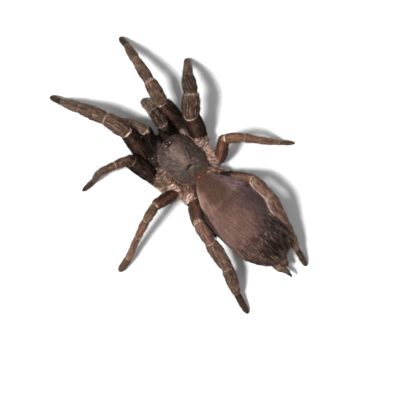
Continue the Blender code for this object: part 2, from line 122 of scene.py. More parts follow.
# Distance along the body, half width, middle height, half height of the flesh under the shield.
CORE_STATIONS = (
    (-8.6, 1.4, 5.6, 1.6), (-7.6, 2.7, 5.5, 2.5), (-5.5, 3.4, 5.5, 2.8), (-2.9, 3.5, 5.5, 2.8),
    (-0.4, 3.2, 5.5, 2.7), (1.4, 2.0, 5.8, 2.1), (2.8, 0.95, 6.2, 1.0), (4.6, 0.85, 6.9, 0.75),
    (7.4, 1.2, 8.2, 0.9),
)
PLEURA_STATIONS = (
    (-11.2, 2.2, 7.4, 0.7), (-9.0, 4.9, 7.3, 0.95), (-5.5, 6.3, 7.2, 1.1), (-1.5, 6.4, 7.2, 1.1),
    (2.0, 5.4, 7.2, 1.05), (4.6, 3.2, 7.3, 0.9), (6.2, 1.6, 7.6, 0.8),
)
# Distance along the body, offset from the midline, height and half sizes of the left chelicera.
JAW_STATIONS = (
    (-12.0, 2.4, 6.2, 1.4, 2.2), (-13.2, 2.5, 6.0, 1.85, 2.9), (-14.4, 2.6, 5.9, 2.15, 3.2),
    (-15.8, 2.45, 5.5, 2.1, 2.9), (-16.8, 2.15, 5.0, 1.55, 2.2), (-17.2, 2.0, 4.8, 0.75, 1.2),
)
FANG_PATH = ((2.1, -16.2, 1.5, 0.60), (2.0, -15.5, 1.2, 0.64), (1.8, -14.0, 1.1, 0.54),
             (1.5, -12.3, 1.4, 0.40), (1.2, -10.6, 1.9, 0.14))
SPINNERET_PATHS = {
    "left": ((2.5, 43.6, 4.8), (2.5, 44.8, 4.6), (2.4, 48.3, 5.2), (1.5, 50.5, 5.4), (1.4, 54.0, 5.0)),
    "right": ((-1.5, 43.6, 4.8), (-1.5, 44.9, 4.6), (-1.0, 46.9, 5.6), (-0.6, 48.4, 6.0),
              (-0.2, 49.8, 6.2)),
}
# Soft folds between the hips, under the jaws and round the vent: x, y, z, half width, half height.
FOLD_PATHS = {
    "fold_right": ((-7.3, -9.8, 6.0, 0.9, 1.1), (-8.2, -7.4, 6.0, 1.1, 1.2), (-8.7, -5.0, 5.9, 1.1, 1.3),
                   (-8.9, -2.0, 6.0, 1.2, 1.3), (-8.6, 1.2, 6.2, 1.1, 1.3), (-8.2, 5.6, 6.2, 0.9, 1.1)),
    "fold_left": ((8.4, -10.2, 5.6, 1.0, 1.1), (9.2, -7.8, 5.4, 1.2, 1.3), (10.9, -4.8, 5.2, 1.4, 1.4),
                  (11.6, -1.4, 5.4, 1.6, 1.4), (10.6, 1.6, 5.8, 1.4, 1.3), (9.2, 5.2, 6.0, 1.1, 1.2),
                  (7.8, 8.8, 6.2, 0.9, 1.1)),
    "throat": ((0.0, -10.6, 4.9, 0.8, 1.3), (0.0, -12.8, 4.9, 0.9, 1.5), (0.0, -14.6, 4.8, 0.8, 1.4),
               (0.0, -16.0, 4.4, 0.5, 1.0)),
    "vent": ((0.7, 42.8, 5.3, 1.5, 0.9), (0.6, 45.6, 5.1, 1.6, 1.1), (0.6, 48.2, 4.9, 1.2, 0.8),
             (0.6, 49.6, 4.8, 0.6, 0.4)),
}
SPINNERET_RADII = (1.3, 1.35, 1.25, 0.95, 0.30)
LEG_LENGTHS = {
    1: (14.0, 9.3, 11.2, 9.0, 6.0),
    2: (12.8, 7.6, 8.5, 7.6, 5.6),
    3: (11.3, 6.4, 8.0, 9.8, 6.7),
    4: (13.4, 8.5, 12.4, 11.6, 8.5),
}
PALP_LENGTHS = (8.9, 6.3, 7.6, 5.8)
TOE_REACH = 0.36                   # how far the toe's flesh reaches past the last joint
# Shape of each segment: place along it, and share of its width.  The height takes the same share,
# but a coxa's height is the third number (mm).
COXA_SHAPE = ((0.0, 0.52, 3.4), (0.28, 0.72, 4.1), (0.55, 0.90, 4.3), (0.80, 1.06, 4.3), (0.97, 1.0, 4.1))
PALP_COXA_SHAPE = ((0.0, 0.60, 3.2), (0.35, 0.78, 3.5), (0.70, 0.92, 3.5), (0.97, 1.0, 3.3))
FEMUR_SHAPE = ((0.03, 0.84), (0.28, 0.99), (0.62, 1.0), (0.97, 0.89))
PATELLA_SHAPE = ((0.03, 0.89), (0.36, 1.0), (0.70, 0.97), (0.97, 0.85))
TIBIA_SHAPE = ((0.03, 0.93), (0.34, 1.02), (0.70, 0.94), (0.97, 0.79))
UPPER_FOOT_SHAPE = ((0.03, 1.0), (0.30, 1.02), (0.68, 0.90))
LOWER_FOOT_SHAPE = ((0.0, 1.0), (0.42, 1.02), (0.80, 0.98), (0.94, 0.84), (1.0, 0.55))
# Place along the limb, and share of the coxa's bulge towards the rear.
COXA_BULGE = ((0.0, 0.0), (0.28, 0.0), (0.55, 0.4), (0.80, 1.0), (1.0, 0.45), (1.12, 0.0))

# ---- the skin under the coat ----
LEG_COAT = 0.14                    # depth of the coat on the limbs (mm)
HIP_COAT = 0.05
BODY_COAT = 0.30
SPINE_STEP = 0.30
SPINE_ROUNDING = 5                 # passes that round a limb's spine at its joints
STATION_ROUNDING = 6               # passes that round a tube drawn through a few stations
VOXEL = 0.342 * MM
WELD = 1e-6
FLOOR_CLEARANCE = 0.04 * MM


class Segment(Enum):
    """The segments of a limb, from the body outwards."""

    COXA = 0
    FEMUR = 1
    PATELLA = 2
    TIBIA = 3
    METATARSUS = 4
    TARSUS = 5


def tint(red: float, green: float, blue: float) -> Array:
    """Return the linear light of a colour whose channels run from 0 to 255 as the eye sees them."""
    level = np.array((red, green, blue)) / 255.0
    return np.where(level <= 0.04045, level / 12.92, ((level + 0.055) / 1.055) ** 2.4)


def blend(first: Array, second: Array, share: Array | float) -> Array:
    """Mix two colours, each given once or for every point.

    Args:
        first: The colour where the share is 0.
        second: The colour where the share is 1.
        share: One share for each point, or one for all.

    Returns:
        One colour for each point.
    """
    weight = np.clip(np.atleast_1d(share), 0.0, 1.0)[:, None]
    return first * (1.0 - weight) + second * weight


def ramp(value: Array, start: float, end: float) -> Array:
    """Return a smooth step from 0 at start to 1 at end."""
    share = np.clip((value - start) / (end - start), 0.0, 1.0)
    return share * share * (3.0 - 2.0 * share)


def bell(value: Array, middle: float, width: float) -> Array:
    """Return a bell-shaped bump of height 1 around a middle value."""
    return np.exp(-(((value - middle) / width) ** 2))


def unit(rows: Array) -> Array:
    """Return each row scaled to length 1."""
    return rows / np.maximum(np.linalg.norm(rows, axis=-1, keepdims=True), 1e-12)


def dots(first: Array, second: Array) -> Array:
    """Return the dot product of each pair of rows."""
    return np.einsum("ij,ij->i", first, second)


def laid_on(directions: Array, normals: Array) -> Array:
    """Return directions turned into the planes that stand on the normals."""
    return unit(directions - normals * dots(directions, normals)[:, None])


def run_of(points: Array) -> Array:
    """Return how far along a path each of its points lies."""
    return np.concatenate(((0.0,), np.cumsum(np.linalg.norm(np.diff(points, axis=0), axis=1))))


def soften(rows: Array) -> None:
    """Round a column or rows of numbers a little, in place; the two ends stay."""
    rows[1:-1] = (rows[:-2] + 2 * rows[1:-1] + rows[2:]) / 4


class Cloud:
    """Smooth random values on a lattice, the same on every run."""

    SIZE = 32

    def __init__(self, seed: int) -> None:
        """Fill the lattice.

        Args:
            seed: Seed of the lattice's random values.
        """
        self.table = np.random.default_rng(seed).random((self.SIZE,) * 3)

    def at(self, points: Array) -> Array:
        """Read smooth values from 0 to 1.

        Args:
            points: Points, counted in lattice cells.

        Returns:
            One value for each point.
        """
        base = np.floor(points).astype(int)
        part = points - base
        part = part * part * (3.0 - 2.0 * part)
        total = np.zeros(len(points))
        for corner in np.ndindex(2, 2, 2):
            weight = np.prod(np.where(np.array(corner) == 1, part, 1.0 - part), axis=1)
            cell = (base + corner) % self.SIZE
            total += weight * self.table[cell[:, 0], cell[:, 1], cell[:, 2]]
        return total

    def over(self, *columns: Array | float) -> Array:
        """Return values from 0 to 1 at points given by their three lattice coordinates."""
        return self.at(np.stack(np.broadcast_arrays(*columns), axis=1))


MOTTLE = Cloud(11)
STRANDS = Cloud(12)
WRINKLES = Cloud(13)


def grid_round(bm: BMesh, rows: int, around: int) -> tuple[list[BMVert], Array, Array]:
    """Add a grid to a bmesh, to be wrapped round a body part.

    Args:
        bm: The bmesh that takes the grid.
        rows: Number of its rows.
        around: Number of its columns, which go once round.

    Returns:
        Its vertices, with the row number and the angle of each.
    """
    verts = bmesh.ops.create_grid(bm, x_segments=rows, y_segments=around, size=1.0)["verts"]
    flat = np.array([vert.co[:2] for vert in verts]) + 1.0
    return verts, np.round(flat[:, 0] / 2.0 * rows, 3), flat[:, 1] * math.pi


@dataclass
class Spots:
    """Points on a body part: where they are, and where on the part that is."""

    points: Array
    place: Array       # whole numbers are the joints of a limb
    arc: Array         # distance along the spine, mm
    theta: Array       # angle round the spine: 0 at its side, a quarter turn at the top
    stretch: Array     # how much longer the surface is here than the spine, where that bends


@dataclass
class Tube:
    """A body part swept along a curved spine, with an oval section."""

    name: str
    place: Array
    centre: Array
    wide: Array
    high: Array
    arc: Array = field(init=False)
    along: Array = field(init=False)
    side: Array = field(init=False)
    up: Array = field(init=False)
    bend: Array = field(init=False)

    def __post_init__(self) -> None:
        """Work out the distances and the directions along the spine."""
        self.arc = run_of(self.centre) / MM
        self.along = unit(np.gradient(self.centre, axis=0))
        self.side = unit(np.cross(self.along, UP))
        self.up = np.cross(self.side, self.along)
        self.bend = np.gradient(self.along, axis=0) / np.gradient(self.arc)[:, None]

    def read(self, values: Array, rows: Array) -> Array:
        """Return values of the spine at fractional row numbers."""
        low = np.clip(np.floor(rows).astype(int), 0, len(self.place) - 2)
        share = np.clip(rows - low, 0.0, 1.0)
        if values.ndim > 1:
            share = share[:, None]
        return values[low] * (1.0 - share) + values[low + 1] * share

    def surface(self, rows: Array, theta: Array) -> Array:
        """Return points of the surface at row numbers and angles."""
        across = (self.read(self.wide, rows) * np.cos(theta))[:, None] * self.read(self.side, rows)
        lift = (self.read(self.high, rows) * np.sin(theta))[:, None] * self.read(self.up, rows)
        return self.read(self.centre, rows) + across + lift

    def normals(self, rows: Array, theta: Array) -> Array:
        """Return the outward directions at row numbers and angles."""
        across = (np.cos(theta) / self.read(self.wide, rows))[:, None] * self.read(self.side, rows)
        lift = (np.sin(theta) / self.read(self.high, rows))[:, None] * self.read(self.up, rows)
        return unit(across + lift)

    def spots(self, rows: Array, theta: Array, points: Array) -> Spots:
        """Return where points at row numbers and angles lie on this part."""
        offset = (points - self.read(self.centre, rows)) / MM
        stretch = 1 - dots(self.read(self.bend, rows), offset)
        return Spots(points, self.read(self.place, rows), self.read(self.arc, rows), theta,
                     np.clip(stretch, 0.4, 4.0))

    def add_shell(self, bm: BMesh, sides: int) -> None:
        """Add the closed surface of this part to a bmesh.

        Args:
            bm: The bmesh that takes the surface.
            sides: Corners of each section.
        """
        verts, rows, theta = grid_round(bm, len(self.place) - 1, sides)
        for vert, point in zip(verts, self.surface(rows, theta)):
            vert.co = point
        bmesh.ops.remove_doubles(bm, verts=verts, dist=WELD)
        rims = [edge for edge in bm.edges if edge.is_boundary]
        bmesh.ops.holes_fill(bm, edges=rims, sides=0)


@dataclass(frozen=True)
class Limb:
    """A leg or a palp, with the pose and sizes of its solids, and its markings.

    Headings are degrees from straight ahead, positive towards the animal's left; rises are
    degrees above the horizontal.  Rings are the strengths of the pale rims at the far end of
    the trochanter, femur, patella, tibia and metatarsus.
    """

    name: str
    pair: int
    hip: tuple[float, float]
    ring_angle: float
    headings: tuple[float, ...]
    rises: tuple[float, ...]
    widths: tuple[float, ...]
    heights: tuple[float, ...]
    coxa_width: float
    coxa_bulge: float
    rings: tuple[float, ...]
    tones: tuple[Array, ...]
    shade: float
    hip_tone: Array

    @staticmethod
    def bearing(heading: float, rise: float) -> Array:
        """Return the unit vector of a heading and a rise in degrees."""
        turn, lift = math.radians(heading), math.radians(rise)
        level = math.cos(lift)
        return np.array((math.sin(turn) * level, -math.cos(turn) * level, math.sin(lift)))

    def corners(self) -> Array:
        """Return the points from the coxa's start to the foot's end (mm)."""
        is_palp = self.pair == 0
        lengths = PALP_LENGTHS if is_palp else LEG_LENGTHS[self.pair]
        angle = math.radians(self.ring_angle)
        start = np.array((COXA_RING[0] * 0.8 * math.sin(angle),
                          CORE_CENTRE_Y - COXA_RING[1] * 0.8 * math.cos(angle), COXA_Z))
        points = [start, np.array((*self.hip, HIP_Z[is_palp]))]
        for heading, rise, length in zip(self.headings, self.rises, lengths):
            points.append(points[-1] + self.bearing(heading, rise) * length)
        drop = (FOOT_CENTRE_Z - points[-1][2]) / lengths[-1]
        rise = math.degrees(math.asin(max(-0.98, min(0.98, drop))))
        points.append(points[-1] + self.bearing(self.headings[-1], rise) * (lengths[-1] + TOE_REACH))
        return np.array(points)

    def profile(self) -> tuple[Array, Array, Array]:
        """Return places along the limb, with the full width and height at each (mm)."""
        coxa = PALP_COXA_SHAPE if self.pair == 0 else COXA_SHAPE
        keys = [(place, share * self.coxa_width, high) for place, share, high in coxa]
        last = len(self.widths)
        for i, shape in zip(range(last - 2), (FEMUR_SHAPE, PATELLA_SHAPE, TIBIA_SHAPE)):
            keys += [(1 + i + place, share * self.widths[i], share * self.heights[i])
                     for place, share in shape]
        keys += [(last - 1 + place, share * self.widths[-2], share * self.heights[-2])
                 for place, share in UPPER_FOOT_SHAPE]
        for place, share in LOWER_FOOT_SHAPE:
            high = max(share * self.heights[-1], SOLE * min(1.0, 2.4 * (1.08 - place)))
            keys.append((last + place, share * self.widths[-1], high))
        return tuple(np.array(column) for column in zip(*keys))

    def tube(self, origin: Array) -> Tube:
        """Return the limb's skin as a tube.

        Args:
            origin: Where the middle of the shield's pit stands, in metres.

        Returns:
            The tube, in place.
        """
        corners = self.corners()
        place, points = [], []
        for i, (near, far) in enumerate(zip(corners, corners[1:])):
            count = max(8, round(float(np.linalg.norm(far - near)) / SPINE_STEP))
            share = np.arange(count) / count
            place.append(i + share)
            points.append(near + (far - near) * share[:, None])
        place = np.concatenate(place + [np.array((len(corners) - 1.0,))])
        points = np.concatenate(points + [corners[-1:]])
        bulge = np.interp(place, *zip(*COXA_BULGE)) * self.coxa_bulge
        coxa = corners[1] - corners[0]
        rearward = unit(np.array((-coxa[1], coxa[0], 0.0))) * (1 if self.hip[0] > 0 else -1)
        points = points + bulge[:, None] * rearward
        keys, widths, heights = self.profile()
        coat = np.interp(place, (0.8, 1.1), (HIP_COAT, LEG_COAT))
        wide = np.interp(place, keys, widths) / 2 - coat
        high = np.interp(place, keys, heights) / 2 - coat
        for _ in range(SPINE_ROUNDING):
            for column in (points, wide, high):
                soften(column)
        tube = Tube(self.name, place, points * MM + origin, wide * MM, high * MM)
        for joint in range(1, len(corners) - 1):
            beyond = tube.arc - np.interp(joint, place, tube.arc)
            neck = 1 - 0.09 * bell(beyond, 0.35, 0.30) + 0.04 * bell(beyond, -0.35, 0.4)
            tube.wide *= neck
            tube.high *= neck
        return tube


# Tones of the segments, from the femur to the foot.  Each limb has its own brightness too.
DARK_LEG = (tint(45, 29, 21), tint(88, 67, 56), tint(90, 69, 58), tint(97, 76, 64), tint(62, 47, 39))
BROWN_LEG = (tint(64, 43, 33), tint(74, 55, 45), tint(68, 50, 41), tint(106, 84, 70), tint(98, 76, 63))
RED_LEG = (tint(88, 57, 44), tint(104, 74, 58), tint(118, 84, 67), tint(128, 97, 79), tint(92, 69, 55))
UMBER_LEG = (tint(43, 27, 20), tint(82, 59, 47), tint(86, 63, 52), tint(92, 72, 59), tint(74, 55, 45))
ROSY_LEG = (tint(98, 70, 59), tint(116, 84, 72), tint(112, 85, 74), tint(106, 81, 68), tint(70, 52, 42))
# The right palp's dark set is partly painted shade and the left palp's pale set partly painted light; the
# left foot's tone is painted as if lit.
DARK_SHADED_PALP = (tint(15, 8, 5), tint(46, 33, 27), tint(102, 82, 70), tint(108, 87, 76))
PALE_LIT_PALP = (tint(17, 9, 6), tint(100, 80, 71), tint(140, 117, 105), tint(190, 162, 147))

GREY_HIP = tint(124, 103, 92)
SHADED_HIP = tint(58, 45, 37)
DARK_HIP = tint(26, 18, 14)
PINK_HIP = tint(162, 130, 114)
ROSY_HIP = tint(148, 114, 98)
OLIVE_HIP = tint(120, 92, 75)
RUSSET_HIP = tint(117, 80, 62)

LIMBS = (
    Limb("leg_1_right", 1, (-8.1, -11.0), -52, (-3, -15, -12, -12, -6), (34, 22, -32, -45),
         (5.7, 5.3, 4.1, 3.5, 2.4), (4.9, 4.6, 4.2, 3.0, 2.4), 3.9, 0.0,
         (0.5, 0.6, 0.85, 0.9, 0.9), DARK_LEG, 1.02, GREY_HIP),
    Limb("leg_1_left", 1, (8.8, -11.8), 50, (-7, 12, 23, 27, 20), (31, 9, -25, -39),
         (5.5, 5.5, 5.0, 3.8, 2.5), (4.9, 4.6, 4.2, 3.0, 2.4), 4.2, 0.2,
         (0.2, 1.0, 0.85, 0.7, 0.6), DARK_LEG, 0.95, SHADED_HIP),
    Limb("leg_2_right", 2, (-10.1, -5.2), -82, (-21, -45, -35, -43, -39), (53, 6, -35, -59),
         (5.8, 6.7, 5.3, 3.7, 2.9), (4.6, 4.6, 3.8, 2.8, 2.2), 5.8, 1.3,
         (0.9, 1.0, 0.5, 0.45, 0.8), BROWN_LEG, 0.89, PINK_HIP),
    Limb("leg_2_left", 2, (11.7, -6.1), 80, (10, 70, 66, 97, 88), (33, 25, -56, -63),
         (5.1, 3.4, 2.8, 2.5, 2.0), (4.6, 4.2, 3.6, 2.8, 2.1), 5.6, 2.2,
         (0.2, 0.4, 0.9, 0.6, 0.4), UMBER_LEG, 0.86, OLIVE_HIP),
    Limb("leg_3_right", 3, (-9.3, 6.1), -110, (-54, -131, -141, -141, -136), (47, 14, -43, -45),
         (4.4, 3.7, 3.1, 2.8, 1.9), (4.2, 4.0, 3.3, 2.5, 1.9), 4.8, -1.0,
         (0.5, 1.0, 0.8, 0.8, 0.7), RED_LEG, 1.12, PINK_HIP),
    Limb("leg_3_left", 3, (10.4, 3.2), 108, (77, 103, 108, 111, 101), (47, -8, -33, -29),
         (4.4, 3.5, 3.0, 2.6, 2.8), (4.2, 4.0, 3.3, 2.5, 2.1), 5.2, -0.9,
         (0.9, 0.6, 0.9, 1.0, 0.6), RED_LEG, 0.82, RUSSET_HIP),
    Limb("leg_4_right", 4, (-6.2, 10.6), -143, (-142, -180, 165, 163, 166), (38, 15, -26, -28),
         (4.1, 4.4, 4.8, 3.7, 2.4), (4.2, 4.2, 3.7, 3.0, 2.1), 3.9, 0.0,
         (0.6, 0.8, 0.4, 0.3, 0.3), ROSY_LEG, 1.0, ROSY_HIP),
    Limb("leg_4_left", 4, (7.9, 10.1), 142, (148, 168, 169, 155, 165), (57, -10, -27, -32),
         (4.8, 4.5, 5.3, 4.6, 2.7), (4.2, 4.2, 3.8, 3.2, 2.1), 5.2, -1.0,
         (0.9, 0.9, 0.7, 0.9, 0.3), ROSY_LEG, 0.95, RUSSET_HIP),
    Limb("palp_right", 0, (-5.2, -12.3), -20, (24, -11, -1, -2), (61, -12, -66),
         (4.2, 4.9, 4.2, 3.6), (3.8, 3.8, 3.5, 3.0), 3.0, 0.0,
         (0.1, 0.5, 0.45, 0.2), DARK_SHADED_PALP, 1.0, DARK_HIP),
    Limb("palp_left", 0, (5.0, -12.6), 20, (-22, 17, 33, 19), (36, -13, -47),
         (4.1, 4.2, 3.4, 3.0), (3.8, 3.6, 3.4, 2.8), 3.0, 0.0,
         (0.1, 0.6, 0.5, 0.2), PALE_LIT_PALP, 1.0, DARK_HIP),
)


def through(at: Array, run: Array, column: Array) -> Array:
    """Return the values of a smooth curve through the values of a column.

    Args:
        at: Distances at which to read the curve.
        run: Distances of the column's values.
        column: The values that the curve passes through.

    Returns:
        One value for each distance.
    """
    slope = np.gradient(column, run)
    k = np.clip(np.searchsorted(run, at) - 1, 0, len(run) - 2)
    gap = run[k + 1] - run[k]
    t = (at - run[k]) / gap
    start = column[k] * (1 + 2 * t) * (1 - t) ** 2 + slope[k] * gap * t * (1 - t) ** 2
    return start + column[k + 1] * t * t * (3 - 2 * t) + slope[k + 1] * gap * t * t * (t - 1)


def swept_tube(name: str, stations: tuple, origin: Array, coat: float, step: float = 0.3) -> Tube:
    """Return a tube through a few stations, rounded where its path bends.

    Args:
        name: Name of the tube.
        stations: The x, y and z of the spine, the half width and the half height (mm).
        origin: Where the middle of the shield's pit stands, in metres.
        coat: Depth of the coat over it (mm).
        step: Distance between rows (mm).

    Returns:
        The tube, in place.
    """
    knots = np.array(stations, float)
    run = run_of(knots[:, :3])
    count = max(12, round(run[-1] / step))
    s = np.linspace(0.0, run[-1], count)
    rows = np.stack([through(s, run, column) for column in knots.T], axis=1)
    for _ in range(STATION_ROUNDING):
        soften(rows)
    wide, high = (np.maximum(rows[:, column] - coat, 0.1) * MM for column in (3, 4))
    return Tube(name, s / s[-1], rows[:, :3] * MM + origin, wide, high)


def midline(stations: tuple) -> tuple:
    """Return stations with an x of 0 from rows of distance, half width, height, half height."""
    return tuple((0.0, y, z, wide, high) for y, wide, z, high in stations)


@dataclass
class BodyPlan:
    """The tubes that make up the flesh, in the row frame."""

    origin: Array
    tubes: list[Tube] = field(default_factory=list)

    def build(self) -> None:
        """Lay out the limbs, the core, the jaws, the abdomen and the spinnerets."""
        self.tubes = [limb.tube(self.origin) for limb in LIMBS]
        self.tubes.append(swept_tube("core", midline(CORE_STATIONS), self.origin, 0.15))
        self.tubes.append(swept_tube("pleura", midline(PLEURA_STATIONS), self.origin, 0.0))
        for sign, side in ((-1, "right"), (1, "left")):
            jaw = tuple((sign * x, y, z, wide, high) for y, x, z, wide, high in JAW_STATIONS)
            self.tubes.append(swept_tube(f"jaw_{side}", jaw, self.origin, 0.12, 0.2))
        for name, path in FOLD_PATHS.items():
            self.tubes.append(swept_tube(name, path, self.origin, 0.0))
        self.tubes.append(self.abdomen())
        for side, path in SPINNERET_PATHS.items():
            stations = tuple((*point, radius, radius) for point, radius in zip(path, SPINNERET_RADII))
            self.tubes.append(swept_tube(f"spinneret_{side}", stations, self.origin, 0.1, 0.2))

    def abdomen(self) -> Tube:
        """Return the abdomen's tube, swung a little to the animal's right."""
        tube = swept_tube("abdomen", midline(ABDOMEN_STATIONS), np.zeros(3), BODY_COAT, 0.35)
        turn = np.array(Matrix.Rotation(ABDOMEN_SWING, 3, "Z"))
        front = np.array((0.0, ABDOMEN_FRONT_Y * MM, 0.0)) + self.origin
        return Tube(tube.name, tube.place, tube.centre @ turn.T + front, tube.wide, tube.high)

    def named(self, name: str) -> Tube:
        """Return the tube of a name."""
        return next(tube for tube in self.tubes if tube.name == name)


class SkinMap:
    """Tells for points near the skin which part they are on, and where on it."""

    SIDES = 20

    def __init__(self, tubes: list[Tube]) -> None:
        """Sample every tube's surface.

        Args:
            tubes: The parts under the skin.
        """
        self.tubes = tubes
        samples, self.keys = [], []
        turns = np.arange(self.SIDES) / self.SIDES * 2 * math.pi
        for k, tube in enumerate(tubes):
            rows = np.arange(0, len(tube.place), 2)
            grid_rows, grid_turns = (axis.ravel() for axis in np.meshgrid(rows, turns))
            samples.append(tube.surface(grid_rows.astype(float), grid_turns))
            self.keys += [(k, row) for row in grid_rows]
        samples = np.concatenate(samples)
        self.tree = KDTree(len(samples))
        for i, point in enumerate(samples):
            self.tree.insert(point, i)
        self.tree.balance()

    def locate(self, points: Array) -> list[tuple[Tube, Array, Array, Array]]:
        """Sort points by the part they lie on.

        Args:
            points: Points near the skin, in metres.

        Returns:
            For each part with points: the tube, their indices, row numbers and angles.
        """
        found = np.array([self.keys[self.tree.find(point)[1]] for point in points])
        groups = []
        for k, tube in enumerate(self.tubes):
            chosen = np.nonzero(found[:, 0] == k)[0]
            if not len(chosen):
                continue
            row = found[chosen, 1]
            offset = points[chosen] - tube.centre[row]
            ahead = dots(offset, tube.along[row]) / MM
            pitch = tube.arc[-1] / (len(tube.arc) - 1)
            rows = np.clip(row + ahead / pitch, 0, len(tube.place) - 1)
            across = dots(offset, tube.side[row]) / tube.wide[row]
            lift = dots(offset, tube.up[row]) / tube.high[row]
            groups.append((tube, chosen, rows, np.arctan2(lift, across)))
        return groups


# ---- markings ----
class Markings:
    """The colours of the animal, as a function of the body part and the place on it."""

    LINE_ANGLES = (8, 24, 37, 55, 68, 82, 99, 113, 131, 144, 160, 173)   # pale hair lines, degrees
    HAIRY = np.array((0.0, 0.08, 0.38, 0.36, 0.32, 0.14))   # strength of those lines, by segment
    # Painted shadow in the crease of each joint, just beyond its pale rim.
    SEAM = tint(34, 24, 19)            # dark, beyond each pale rim
    CREAM = tint(208, 180, 156)        # of the pale rims
    STRAW = tint(184, 156, 130)        # of the pale hair lines
    # Pale colour of a leg's side seam, and the painted highlight on the crests of a hip's folds.
    PLEAT = tint(224, 200, 188)
    PLEATED = ("leg_3_left", "leg_4_left")
    # Rust-red hip skin, also painted shade between the pale crests of its folds.
    RUST = tint(92, 54, 42)
    LEFT_FLANK = tint(130, 100, 84)
    RIGHT_FLANK = tint(160, 126, 108)
    # The pale crests of these folds are painted highlights.
    PLEATS = (-0.50, -1.55, -2.60)     # where the pale folds before a femur lie, mm
    HEMMED = "leg_4_right"             # has a pale seam along its side
    NEAR_JOINT = 0.75                  # as far from a joint as its rim is looked for, in segments
    # The left jaw is painted lighter and the right jaw darker: one colour with painted light and painted
    # shade. The throat is painted near black, as painted shade in the gap between the jaws.
    PLAIN = {"jaw_left": tint(76, 61, 54), "jaw_right": tint(45, 34, 29), "throat": tint(12, 9, 8),
             "vent": tint(70, 54, 46)}

    def __init__(self, origin: Array) -> None:
        """Keep where the middle of the shield's pit stands.

        Args:
            origin: That point, in metres.
        """
        self.origin = origin
        self.limbs = {limb.name: limb for limb in LIMBS}

    def colour(self, name: str, spots: Spots, rims: bool = True) -> Array:
        """Return the colours at spots on a part.

        Args:
            name: Name of the part.
            spots: Where the points are.
            rims: Whether a limb's pale rims are drawn.

        Returns:
            One linear colour for each point.
        """
        if name in self.limbs:
            colour = self.limb(self.limbs[name], spots, rims)
        elif name == "abdomen":
            colour = self.abdomen(spots)
        elif name.startswith("spinneret"):
            colour = self.spinneret(spots)
        elif name in self.PLAIN:
            colour = self.mottled(self.PLAIN[name], spots.points, 0.5, 0.4)
        else:
            x = (spots.points[:, 0] - self.origin[0]) / MM
            tone = blend(self.RIGHT_FLANK, self.LEFT_FLANK, ramp(x, -1.0, 3.0))
            colour = self.flank(spots, tone, name != "core")
        return np.clip(colour, 0.0, 1.0)

    def mottled(self, colour: Array, points: Array, cell: float, depth: float) -> Array:
        """Return colours lightened and darkened by a cloud with cells of a size in mm."""
        cloud = MOTTLE.at(points / MM / cell)
        return colour * (1 + depth * (2 * cloud - 1))[:, None]

    def wrinkled(self, points: Array) -> Array:
        """Return 0 in the folds and 1 on the ridges of the wrinkled hips."""
        warp = WRINKLES.at(points / MM / 1.9)
        fold = WRINKLES.at(points / MM / 0.85 + 3.0 * warp[:, None])
        return 1 - np.abs(2 * fold - 1) ** 0.7

    def flank(self, spots: Spots, tone: Array, crosswise: bool = False) -> Array:
        """Return the colours of a hip, or of the flesh between the hips.

        Args:
            spots: Where the points are.
            tone: Their base colour.
            crosswise: Whether strands of hair also run across the part and not only along it.

        Returns:
            One linear colour for each point.
        """
        strand = STRANDS.over(spots.arc / 2.2, spots.theta * 11.0, 5.0)
        if crosswise:
            across = STRANDS.over(spots.arc / 0.30, spots.theta * 1.7, 9.0)
            strand = np.maximum(strand, across) - 0.10
        ridge = self.wrinkled(spots.points)
        # Painted shade in the folds of the wrinkles and painted light on their ridges.
        colour = tone * (0.05 + 1.25 * strand + 0.35 * ridge)[:, None]
        bright = tone * 1.6 + 0.15 * ramp(tone.mean(axis=-1, keepdims=True), 0.02, 0.09)
        colour = blend(colour, bright, ramp(strand, 0.58, 0.76) * 0.9)
        # Painted shade on the underside.
        below = ramp(-np.sin(spots.theta), 0.0, 0.8)
        return blend(colour, tone * 0.25, below)

    def limb(self, limb: Limb, spots: Spots, rims: bool) -> Array:
        """Colour a limb.

        Args:
            limb: The leg or palp.
            spots: Where the points are.
            rims: Whether the pale rims are drawn.

        Returns:
            One linear colour for each point.
        """
        place, theta = spots.place, spots.theta
        tones = np.array(limb.tones) * limb.shade
        segment = np.clip(np.floor(place).astype(int), 0, len(tones))
        share = place - segment
        colour = tones[np.maximum(segment - 1, 0)]
        femur = segment == Segment.FEMUR.value
        # Painted highlight along the top of a femur, which also grows lighter towards its far end.
        painted_femur_highlight = 0.52 + 0.86 * bell(theta, math.radians(104), 0.38) + 0.42 * share ** 3
        colour = np.where(femur[:, None], colour * painted_femur_highlight[:, None], colour)
        bundle = STRANDS.over(spots.arc / 2.2, theta * 8.0, self.lane(limb))
        colour = colour * (0.48 + 1.04 * bundle)[:, None]
        # A palp has no metatarsus: here its tibia counts as one, and its foot as the tarsus.
        skipped = (limb.pair == 0) * (segment >= Segment.TIBIA.value)
        part = np.minimum(segment + skipped, Segment.TARSUS.value)
        shank = part >= Segment.PATELLA.value
        # Painted sheen: from the patella on, each segment grows lighter towards its far end.
        colour = colour * np.where(shank, 0.84 + 0.32 * share, 1.0)[:, None]
        back = bell(theta, math.radians(92), 0.42) * (part >= Segment.METATARSUS.value)
        colour = colour * (1.12 - 0.42 * back * shank)[:, None]
        hemmed = limb.name == self.HEMMED
        hairy = self.HAIRY[part] * (1.7 if hemmed else 1.0)
        colour = blend(colour, self.STRAW, self.hair_lines(limb, spots) * hairy)
        if hemmed:
            colour = blend(colour, self.PLEAT, self.hem(limb, spots))
        colour = self.mottled(colour, spots.points, 0.5, 0.30)
        colour = self.mottled(colour, spots.points, 2.6, 0.18)
